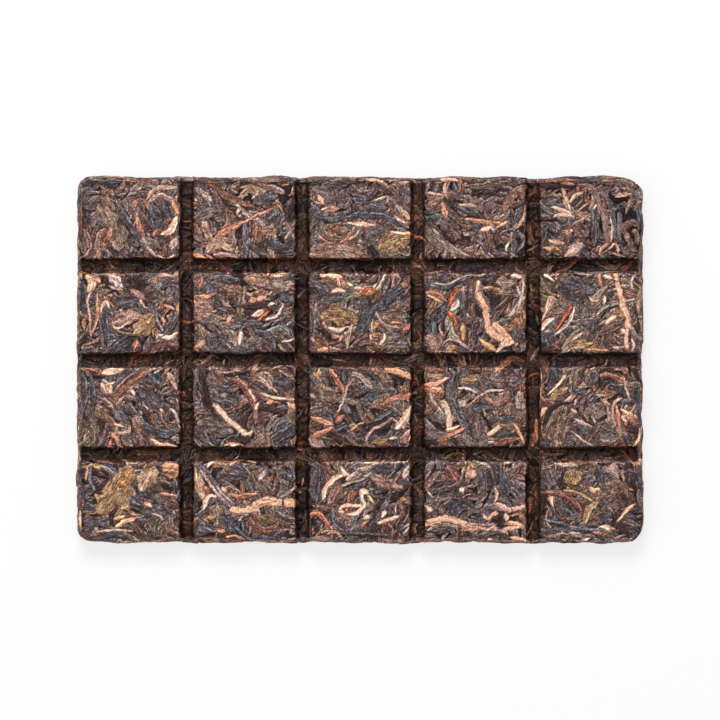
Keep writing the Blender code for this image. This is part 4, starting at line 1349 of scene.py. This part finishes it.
def underside_sheet(pressed, top, side):
    """The flat underside, whose rim is every second vertex of the side's last ring."""
    places = top.points[::2, ::2, :2]
    stretch = 1 + (EDGE_REACH - LOWER_EDGE) / np.array([top_half(LENGTH), top_half(WIDTH)])
    x, y = (places * stretch)[..., 0], (places * stretch)[..., 1]
    rows, columns, _, _ = rim_loop()
    even = slice(0, None, 2)
    x[rows[even] // 2, columns[even] // 2] = side.points[-1, even, 0]
    y[rows[even] // 2, columns[even] // 2] = side.points[-1, even, 1]
    plan_x, plan_y = x + LENGTH / 2, y + WIDTH / 2
    relief = np.clip(-sample(pressed.height, plan_x, plan_y) - UNDER_SKIM, 0, UNDER_RELIEF)
    relief[[0, -1], :] = 0
    relief[:, [0, -1]] = 0
    points = np.stack([x, y, relief], -1)
    return Sheet(points, sample(pressed.colour, plan_x, plan_y), nearest(pressed.grain, plan_x, plan_y))


# ---------------------------------------------------------------- loose leaves

def between(grid, row, column):
    """A grid's values between its vertices. Its columns run round and meet."""
    low = np.clip(np.floor(row).astype(int), 0, grid.shape[0] - 2)
    left = np.floor(column).astype(int)
    up, across = (row - low)[..., None], (column - left)[..., None]
    left, right = left % grid.shape[1], (left + 1) % grid.shape[1]
    bottom = grid[low, left] * (1 - across) + grid[low, right] * across
    top = grid[low + 1, left] * (1 - across) + grid[low + 1, right] * across
    return bottom * (1 - up) + top * up


def eased(line, times):
    """A line of points with its kinks smoothed out. Its ends stay."""
    line = line.copy()
    for _ in range(times):
        line[1:-1] = (line[:-2] + 2 * line[1:-1] + line[2:]) / 4
    return line


def unit(vectors):
    """The vectors at length 1."""
    return vectors / np.linalg.norm(vectors, axis=1, keepdims=True)


class LooseLeaves:
    """Leaves that stand clear of the skin: closed flattened strips, gathered into one mesh."""

    POINTS = 14      # places along a leaf
    SIDES = 8        # vertices round it
    LOWEST = 0.05    # none reaches the surface that the brick lies on
    HIGHEST = THICKNESS + 0.2
    MARGIN = 0.06    # around each leaf's chart, as a share of its cell
    ROUGH = 0.28     # how uneven its width and thickness are
    BLOTCHY = 0.35   # how far its lightness strays
    BRIDGE = 12      # how many times a leaf's height on the top is smoothed, so that it spans what is narrow

    def __init__(self, rng, noise):
        self.rng, self.noise = rng, noise
        self.points, self.colours, self.grains = [], [], []

    def add(self, spine, up, width, thickness, colour, outline="strip", twist=0.0):
        """Adds one leaf along a spine of POINTS places, lying flat on the side that up points away from."""
        spine = eased(spine, 3)
        across, up = self.directions(spine, eased(up, 3), twist)
        s = np.linspace(0, 1, self.POINTS)
        around = 2 * math.pi * np.arange(self.SIDES) / self.SIDES
        seed = self.rng.uniform(0, 200)
        along = np.r_[0, np.cumsum(np.linalg.norm(np.diff(spine, axis=0), axis=1))]
        rough = 1 + self.ROUGH * self.noise(along[:, None] * 1.3 + seed, np.arange(self.SIDES)[None, :] * 1.7)
        half = width / 2 * OUTLINES[outline](s)[:, None] * rough
        thick = thickness / 2 * (0.5 + 0.5 * OUTLINES["strip"](s))[:, None] * rough
        rings = (spine[:, None] + across[:, None] * (half * np.cos(around))[..., None]
                 + up[:, None] * (thick * np.sin(around))[..., None])
        rings[..., 2] = np.clip(rings[..., 2], self.LOWEST, self.HIGHEST)
        tone = np.exp(self.BLOTCHY * self.noise(along[:, None] * 0.9 + seed, around[None, :] * 1.5 + 5))
        grain = np.stack(np.broadcast_arrays(along[:, None], width * around[None, :] / 3, seed), -1)
        self.points.append(rings)
        self.colours.append(colour * tone[..., None])
        self.grains.append(grain)

    def directions(self, spine, up, twist):
        """Unit directions across a leaf and out of its face, at each place along it."""
        tangent = np.gradient(spine, axis=0)
        across = unit(np.cross(tangent, up))
        up = unit(np.cross(across, tangent))
        turn = (twist * (np.linspace(0, 1, self.POINTS) - 0.5))[:, None]
        return across * np.cos(turn) + up * np.sin(turn), up * np.cos(turn) - across * np.sin(turn)

    def lay_on_top(self, top, x, y, heading, length, lift, *rest, **look):
        """Lays a leaf on the top at a place, raised by a lift."""
        run = np.linspace(-length / 2, length / 2, self.POINTS)
        bend = self.rng.normal(0, 0.05) * run ** 2
        self.lay_through(top, x + run * math.cos(heading) - bend * math.sin(heading),
                         y + run * math.sin(heading) + bend * math.cos(heading), lift, *rest, **look)

    def lay_through(self, top, x, y, lift, *rest, **look):
        """Lays a leaf on the top through POINTS places. It bridges what is narrower than itself."""
        row = np.interp(y, LINES_Y, np.arange(len(LINES_Y)))
        column = np.interp(x, LINES_X, np.arange(len(LINES_X)))
        last_row, last_column = len(LINES_Y) - 1.001, len(LINES_X) - 1.001
        spine = between(top.points, np.minimum(row, last_row), np.minimum(column, last_column))
        spine[:, 2] = np.maximum(spine[:, 2], eased(spine, self.BRIDGE)[:, 2]) + lift
        self.add(spine, np.tile([0.0, 0.0, 1.0], (self.POINTS, 1)), *rest, **look)

    def lay_on_side(self, side, normal, column, ring, run, drift, lift, *rest, **look):
        """Lays a leaf along the side from a place on its grid, so many columns and rings long."""
        s = np.linspace(0, 1, self.POINTS)
        rings = np.clip(ring + drift * s, 0, side.points.shape[0] - 1.001)
        columns = column + run * s
        spine = between(side.points, rings, columns)
        up = between(normal, rings, columns)
        self.add(spine + up * lift, up, *rest, **look)

    def build(self):
        """The mesh: a tube of quads to each leaf, closed with three quads at each end."""
        count, points, sides = len(self.points), self.POINTS, self.SIDES
        tube, row, column = grid_faces(points, sides, closed=True)
        cap = np.array([[k, k + 1, sides - 2 - k, sides - 1 - k] for k in range(sides // 2 - 1)])
        faces = np.concatenate([tube[:, ::-1], cap, cap[:, ::-1] + (points - 1) * sides])
        u_tube = (row[:, None] + [1, 1, 0, 0]) / (points - 1)
        v_tube = (column[:, None] + [0, 1, 1, 0]) / sides
        u = np.concatenate([u_tube, np.zeros(cap.shape), np.ones(cap.shape)])
        v = np.concatenate([v_tube, cap / sides, cap[:, ::-1] / sides])
        across = math.ceil(math.sqrt(count))
        uv = in_cell(np.arange(count)[:, None, None], u, v, across, across, self.MARGIN)
        all_faces = faces[None] + (np.arange(count) * points * sides)[:, None, None]
        build_piece("loose_leaves", np.array(self.points), all_faces.reshape(-1, 4),
                    np.array(self.colours), np.array(self.grains), uv)


RIM_LEAVES, GROOVE_STRIPS, CORNER_STRIPS, CRUMBS = 210, 45, 14, 60
LOOSE_OUTLINES = ["strip", "taper", "lens"]


def lay_rim(loose, side):
    """Leaf ends and layers that stand out of the sides and the upper edge."""
    rng = loose.rng
    normal = normals_round(side.points)
    rings, around = side.points.shape[:2]
    for _ in range(RIM_LEAVES):
        run = rng.uniform(14, 50) * rng.choice([-1, 1])
        ring = rng.uniform(0, rings * 0.9)
        thickness = rng.uniform(0.25, 0.5)
        colour = SKIN_SHADE * pick(rng, PLAIN if rng.uniform() < 0.7 else WARM)
        loose.lay_on_side(side, normal, rng.uniform(0, around), ring, run, rng.normal(0, 4),
                          rng.uniform(-0.05, 0.2), rng.uniform(0.6, 1.7), thickness, colour,
                          outline=rng.choice(LOOSE_OUTLINES))


def groove_centres(bounds):
    """Where the middle of each groove lies along one axis."""
    return [(a[1] + b[0]) / 2 for a, b in zip(bounds[:-1], bounds[1:])]


def lay_in_grooves(loose, top):
    """Dark strips that have fallen into the grooves or lie across them."""
    rng = loose.rng
    for _ in range(GROOVE_STRIPS):
        if rng.uniform() < 0.5:
            x = rng.choice(groove_centres(COLUMN_BOUNDS)) + rng.normal(0, 0.6)
            y = rng.uniform(-1, 1) * (WIDTH / 2 - 3)
            heading = math.pi / 2 + rng.normal(0, 0.5)
        else:
            x = rng.uniform(-1, 1) * (LENGTH / 2 - 3)
            y = rng.choice(groove_centres(ROW_BOUNDS)) + rng.normal(0, 0.6)
            heading = rng.normal(0, 0.5)
        colour = SKIN_SHADE * 0.55 * pick(rng, PLAIN if rng.uniform() < 0.5 else WARM)
        loose.lay_on_top(top, x, y, heading, rng.uniform(1.5, 5), 0.12, rng.uniform(0.4, 1.1),
                         rng.uniform(0.2, 0.4), colour, outline=rng.choice(LOOSE_OUTLINES),
                         twist=rng.normal(0, 0.8))


def lay_loose_corner(loose, top):
    """Rounder leaves that lie open in the loosely pressed corner: small ones at random, then larger ones."""
    rng = loose.rng
    for _ in range(CORNER_STRIPS):
        x = rng.uniform(LENGTH / 2 - 14, LENGTH / 2 - 2)
        y = rng.uniform(WIDTH / 2 - 5, WIDTH / 2 - 2)
        colour = SKIN_SHADE * pick(rng, PLAIN if rng.uniform() < 0.75 else WARM)
        loose.lay_on_top(top, x, y, rng.normal(0, 0.5), rng.uniform(2.5, 5), -0.12, rng.uniform(0.7, 1.3),
                         rng.uniform(0.4, 0.6), colour, outline=rng.choice(["strip", "stem"]))
    last_x, last_y = sum(COLUMN_BOUNDS[-1]) / 2, sum(ROW_BOUNDS[-1]) / 2
    for name, width, *points in CORNER_LEAVES:
        colour, outline = name.split()
        line = curve_through([(last_x + x, last_y + y) for x, y in points], per_span=40)
        line = line[np.linspace(0, len(line) - 1, loose.POINTS).astype(int)]
        loose.lay_through(top, line[:, 0], line[:, 1], -0.2, width, 0.8, COLOURS[colour], outline=outline)


def lay_crumbs(loose, top):
    """Small bits pressed half into the face."""
    rng = loose.rng
    for _ in range(CRUMBS):
        x = rng.uniform(-1, 1) * (LENGTH / 2 - 3)
        y = rng.uniform(-1, 1) * (WIDTH / 2 - 3)
        colour = SKIN_SHADE * pick(rng, PLAIN if rng.uniform() < 0.5 else WARM)
        loose.lay_on_top(top, x, y, rng.uniform(0, math.pi), rng.uniform(1.0, 2.6), 0.0,
                         rng.uniform(0.4, 0.8), rng.uniform(0.2, 0.3), colour, outline="lens")


# ---------------------------------------------------------------- meshes

def add_attribute(mesh, name, kind, values):
    """A value of its own for each vertex."""
    attribute = mesh.attributes.new(name, kind, "POINT")
    field = {"FLOAT_COLOR": "color", "FLOAT_VECTOR": "vector", "FLOAT": "value"}[kind]
    attribute.data.foreach_set(field, np.ascontiguousarray(values, np.float32).ravel())


def build_piece(name, points, faces, colour, grain, uv, normals=None):
    """A piece of the visible brick: points in millimetres, and a uv pair for each corner of a face."""
    mesh = bpy.data.meshes.new(name)
    mesh.from_pydata((points.reshape(-1, 3) * MM).tolist(), [], faces.tolist())
    colour = np.clip(colour.reshape(-1, 3), 0.002, 0.95)
    add_attribute(mesh, "leaf_colour", "FLOAT_COLOR", np.c_[colour, np.ones(len(colour))])
    add_attribute(mesh, "leaf_grain", "FLOAT_VECTOR", grain.reshape(-1, 3))
    layer = mesh.uv_layers.new(name="OFBake")
    layer.data.foreach_set("uv", np.ascontiguousarray(uv, np.float32).ravel())
    mesh.shade_smooth()
    if normals is not None:
        mesh.normals_split_custom_set_from_vertices(normals.reshape(-1, 3).tolist())
    piece = bpy.data.objects.new(name, mesh)
    bpy.context.scene.collection.objects.link(piece)
    piece.data.materials.append(leaf_material())
    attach(piece, "root")
    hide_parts(NODE)
    return piece


def grid_faces(rows, columns, closed=False):
    """Quads of a grid of vertices, counterclockwise where columns run right and rows run up."""
    across = columns if closed else columns - 1
    row, column = np.meshgrid(np.arange(rows - 1), np.arange(across), indexing="ij")
    right = (column + 1) % columns
    low, high = row * columns, (row + 1) * columns
    corners = [low + column, low + right, high + right, high + column]
    return np.stack([c.ravel() for c in corners], 1), row.ravel(), column.ravel()


CHART_MARGIN = 0.01
TOP_CHARTS_ACROSS = 3
SIDE_CHARTS = 8


def in_cell(number, u, v, across, down, margin):
    """Places a chart in a numbered cell of a page, so many cells across and down, with a margin around it."""
    size = 1 - 2 * margin
    return np.stack([(number % across + margin + size * u) / across,
                     (number // across + margin + size * v) / down], -1)


def chart(row, column, row_ends, column_ends, across):
    """Lays a grid's quads out as a page of charts, so many across, cut at the given rows and columns."""
    chart_row = np.searchsorted(row_ends, row, side="right") - 1
    chart_column = np.searchsorted(column_ends, column, side="right") - 1
    number = chart_row * (len(column_ends) - 1) + chart_column
    total = (len(row_ends) - 1) * (len(column_ends) - 1)
    down = -(-total // across)
    low_row, high_row = row_ends[chart_row], row_ends[chart_row + 1]
    low_column, high_column = column_ends[chart_column], column_ends[chart_column + 1]
    corners = []
    for step_column, step_row in ((0, 0), (1, 0), (1, 1), (0, 1)):
        u = (column + step_column - low_column) / (high_column - low_column)
        v = (row + step_row - low_row) / (high_row - low_row)
        corners.append(in_cell(number, u, v, across, down, CHART_MARGIN))
    return np.stack(corners, 1)


def build_top(top):
    """The top's skin, in one piece to each row of tiles."""
    normals = normals_of(top.points)
    cuts = [0] + groove_middles(STEPS_Y) + [len(LINES_Y) - 1]
    column_cuts = np.array([0] + groove_middles(STEPS_X) + [len(LINES_X) - 1])
    for number, (low, high) in enumerate(zip(cuts[:-1], cuts[1:])):
        part = slice(low, high + 1)
        faces, row, column = grid_faces(high + 1 - low, len(LINES_X))
        uv = chart(row, column, np.array([0, high - low]), column_cuts, TOP_CHARTS_ACROSS)
        name = f"skin_row_{ROWS - number}"
        build_piece(name, top.points[part], faces, top.colour[part], top.grain[part], uv, normals[part])


def build_sides(side):
    """The sides, in one ring whose charts lie in one column."""
    rings, around = side.points.shape[:2]
    faces, row, column = grid_faces(rings, around, closed=True)
    faces = faces[:, ::-1]
    cuts = np.linspace(0, around, SIDE_CHARTS + 1).astype(int)
    uv = chart(row, column, np.array([0, rings - 1]), cuts, 1)[:, ::-1]
    build_piece("skin_sides", side.points, faces, side.colour, side.grain, uv)


def build_underside(under):
    """The underside, which faces down."""
    rows, columns = under.points.shape[:2]
    faces, row, column = grid_faces(rows, columns)
    uv = chart(row, column, np.array([0, rows - 1]), np.array([0, columns - 1]), 1)[:, ::-1]
    build_piece("skin_underside", under.points, faces[:, ::-1], under.colour, under.grain, uv)


# ---------------------------------------------------------------- material

# Fibre bumps to a millimetre along a leaf and across it, and how far one leaf's pattern is from the next's.
FIBRE_GRAIN = (0.5, 3.5, 3.7)
FLECK_SCALE = 3200.0             # flecks to a metre
FLECK_HUE = (1.8, 0.6, 1.8)      # how far flecks stray in red, green and blue
FLECK_HUE_BASE = (0.1, 0.7, 0.1)


class Nodes:
    """Adds nodes to a material and wires them."""

    def __init__(self, material):
        material.use_nodes = True
        self.tree = material.node_tree
        self.surface = self.tree.nodes["Principled BSDF"]

    def add(self, kind, inputs, **settings):
        """Adds a node and returns its outputs. Each input is a value or another node's output."""
        made = self.tree.nodes.new("ShaderNode" + kind)
        for setting, value in settings.items():
            setattr(made, setting, value)
        for socket, value in inputs.items():
            if isinstance(value, bpy.types.NodeSocket):
                self.tree.links.new(value, made.inputs[socket])
            else:
                made.inputs[socket].default_value = value
        return made.outputs

    def spread(self, value, low, high, new_low, new_high):
        """Maps one range of a value onto another."""
        ends = {"From Min": low, "From Max": high, "To Min": new_low, "To Max": new_high}
        return self.add("MapRange", {"Value": value, **ends})["Result"]

    def scale(self, vector, factor):
        """A vector, or a colour, times a factor."""
        return self.add("VectorMath", {"Vector": vector, "Scale": factor}, operation="SCALE")["Vector"]

    def show(self, output, name):
        """Feeds an output to one of the surface's inputs."""
        self.tree.links.new(output, self.surface.inputs[name])


def leaf_material():
    """Dry leaf: its own colour, fine lengthwise fibres, and a satin shine that breaks up over its flecks."""
    material = bpy.data.materials.get("leaf_skin")
    if material:
        return material
    material = bpy.data.materials.new("leaf_skin")
    nodes = Nodes(material)
    colour = nodes.add("Attribute", {}, attribute_name="leaf_colour")["Color"]
    grain = nodes.add("Attribute", {}, attribute_name="leaf_grain")["Vector"]
    place = nodes.add("TexCoord", {})["Object"]

    along_leaf = nodes.add("VectorMath", {0: grain, 1: FIBRE_GRAIN}, operation="MULTIPLY")["Vector"]
    fibres = nodes.add("TexNoise", {"Vector": along_leaf, "Scale": 1.0, "Detail": 2.0, "Roughness": 0.5})
    flecks = nodes.add("TexNoise", {"Vector": place, "Scale": FLECK_SCALE, "Detail": 2.0, "Roughness": 0.6})

    streaked = nodes.scale(colour, nodes.spread(fibres["Fac"], 0.34, 0.66, 0.3, 1.7))
    # Flecks make the colour lighter and darker at random: grain, and pale specks that stand in for painted
    # glints.
    flecked = nodes.scale(streaked, nodes.spread(flecks["Fac"], 0.32, 0.68, 0.15, 1.85))
    hue = nodes.add("VectorMath", {0: flecks["Color"], 1: FLECK_HUE, 2: FLECK_HUE_BASE},
                    operation="MULTIPLY_ADD")["Vector"]
    varied = nodes.add("VectorMath", {0: flecked, 1: hue}, operation="MULTIPLY")["Vector"]
    paleness = nodes.add("RGBToBW", {"Color": colour})["Val"]
    calm = nodes.spread(paleness, 0.12, 0.45, 0.0, 0.65)
    blend = nodes.add("Mix", {"Factor": calm, "A": varied, "B": colour}, data_type="RGBA")
    nodes.show(blend["Result"], "Base Color")

    nodes.show(nodes.spread(flecks["Fac"], 0.3, 0.7, 0.42, 0.66), "Roughness")
    nodes.surface.inputs["Specular IOR Level"].default_value = 0.18

    ribbed = nodes.add("Bump", {"Strength": 0.7, "Distance": 0.00008, "Height": fibres["Fac"]})["Normal"]
    bumpy = nodes.add("Bump", {"Strength": 0.8, "Distance": 0.00006, "Height": flecks["Fac"],
                               "Normal": ribbed})["Normal"]
    nodes.show(bumpy, "Normal")
    return material


def floor_material():
    """A matt pale surface that glows faintly, so that it comes out near white."""
    material = bpy.data.materials.new("floor")
    material.use_nodes = True
    surface = material.node_tree.nodes["Principled BSDF"]
    surface.inputs["Base Color"].default_value = (0.2, 0.2, 0.2, 1)
    surface.inputs["Roughness"].default_value = 0.9
    surface.inputs["Specular IOR Level"].default_value = 0.1
    surface.inputs["Emission Color"].default_value = (1, 1, 1, 1)
    surface.inputs["Emission Strength"].default_value = 0.74
    return material


# ---------------------------------------------------------------- stage

CAMERA_ELEVATION = math.radians(90)
CAMERA_DISTANCE = 1.6
FIELD_WIDTH = 0.1976      # how much of the brick's plane the picture takes in, in metres
AIM = (0.0, 0.0, 0.004)
FLOOR_SIDE = 6.0
AMBIENT = 0.50
# Each light's place and width in metres, and its power in watts.
KEY_LIGHT = ((-0.10, 0.72, 1.0), 0.55, 12.0)
FILL_LIGHT = ((-0.75, -0.15, 1.1), 0.9, 3.5)


def build_stage():
    """A plain pale floor, soft light from the back and the left, and a camera looking straight down."""
    add_floor()
    world = bpy.data.worlds.new("studio")
    world.use_nodes = True
    background = world.node_tree.nodes["Background"]
    background.inputs["Color"].default_value = (1, 1, 1, 1)
    background.inputs["Strength"].default_value = AMBIENT
    bpy.context.scene.world = world
    add_light("key", *KEY_LIGHT)
    add_light("fill", *FILL_LIGHT)
    add_camera()
    bpy.context.scene.view_settings.view_transform = "Standard"


def add_floor():
    """The surface that the brick lies on."""
    mesh = bpy.data.meshes.new("floor")
    half = FLOOR_SIDE / 2
    corners = [(-half, -half, 0), (half, -half, 0), (half, half, 0), (-half, half, 0)]
    mesh.from_pydata(corners, [], [(0, 1, 2, 3)])
    floor = bpy.data.objects.new("floor", mesh)
    floor.data.materials.append(floor_material())
    bpy.context.scene.collection.objects.link(floor)


def add_camera():
    """The camera, turned about X by what is left of a quarter turn at its elevation."""
    camera = bpy.data.objects.new("camera", bpy.data.cameras.new("camera"))
    toward = Vector((0, -math.cos(CAMERA_ELEVATION), math.sin(CAMERA_ELEVATION)))
    camera.location = Vector(AIM) + toward * CAMERA_DISTANCE
    camera.rotation_euler = (math.pi / 2 - CAMERA_ELEVATION, 0, 0)
    camera.data.lens_unit = "FOV"
    camera.data.angle = 2 * math.atan(FIELD_WIDTH / 2 / CAMERA_DISTANCE)
    bpy.context.scene.collection.objects.link(camera)
    bpy.context.scene.camera = camera


def add_light(name, place, size, power):
    """A round soft light that points at the brick."""
    light = bpy.data.lights.new(name, "AREA")
    light.shape = "DISK"
    light.size = size
    light.energy = power
    lamp = bpy.data.objects.new(name, light)
    lamp.location = place
    lamp.rotation_euler = (-Vector(place)).to_track_quat("-Z", "Y").to_euler()
    bpy.context.scene.collection.objects.link(lamp)


def main():
    """Presses the leaves, folds the plan over the brick, adds loose leaves and sets the stage."""
    rng = np.random.default_rng(SEED)
    plan = Plan(PLAN_SIZE, rng)
    flow = Flow(plan)
    lay_crowd(plan, flow)
    lay_accents(plan)
    lay_stragglers(plan, flow)
    pressed = Pressed(plan)
    top = top_sheet(pressed, plan.noise)
    side = side_sheet(pressed, plan.noise, top)
    build_top(top)
    build_sides(side)
    loose = LooseLeaves(rng, plan.noise)
    lay_rim(loose, side)
    lay_in_grooves(loose, top)
    lay_loose_corner(loose, top)
    lay_crumbs(loose, top)
    loose.build()
    under_plan = Plan((LENGTH, WIDTH), rng)
    lay_crowd(under_plan, Flow(under_plan))
    build_underside(underside_sheet(Pressed(under_plan), top, side))
    build_stage()


main()
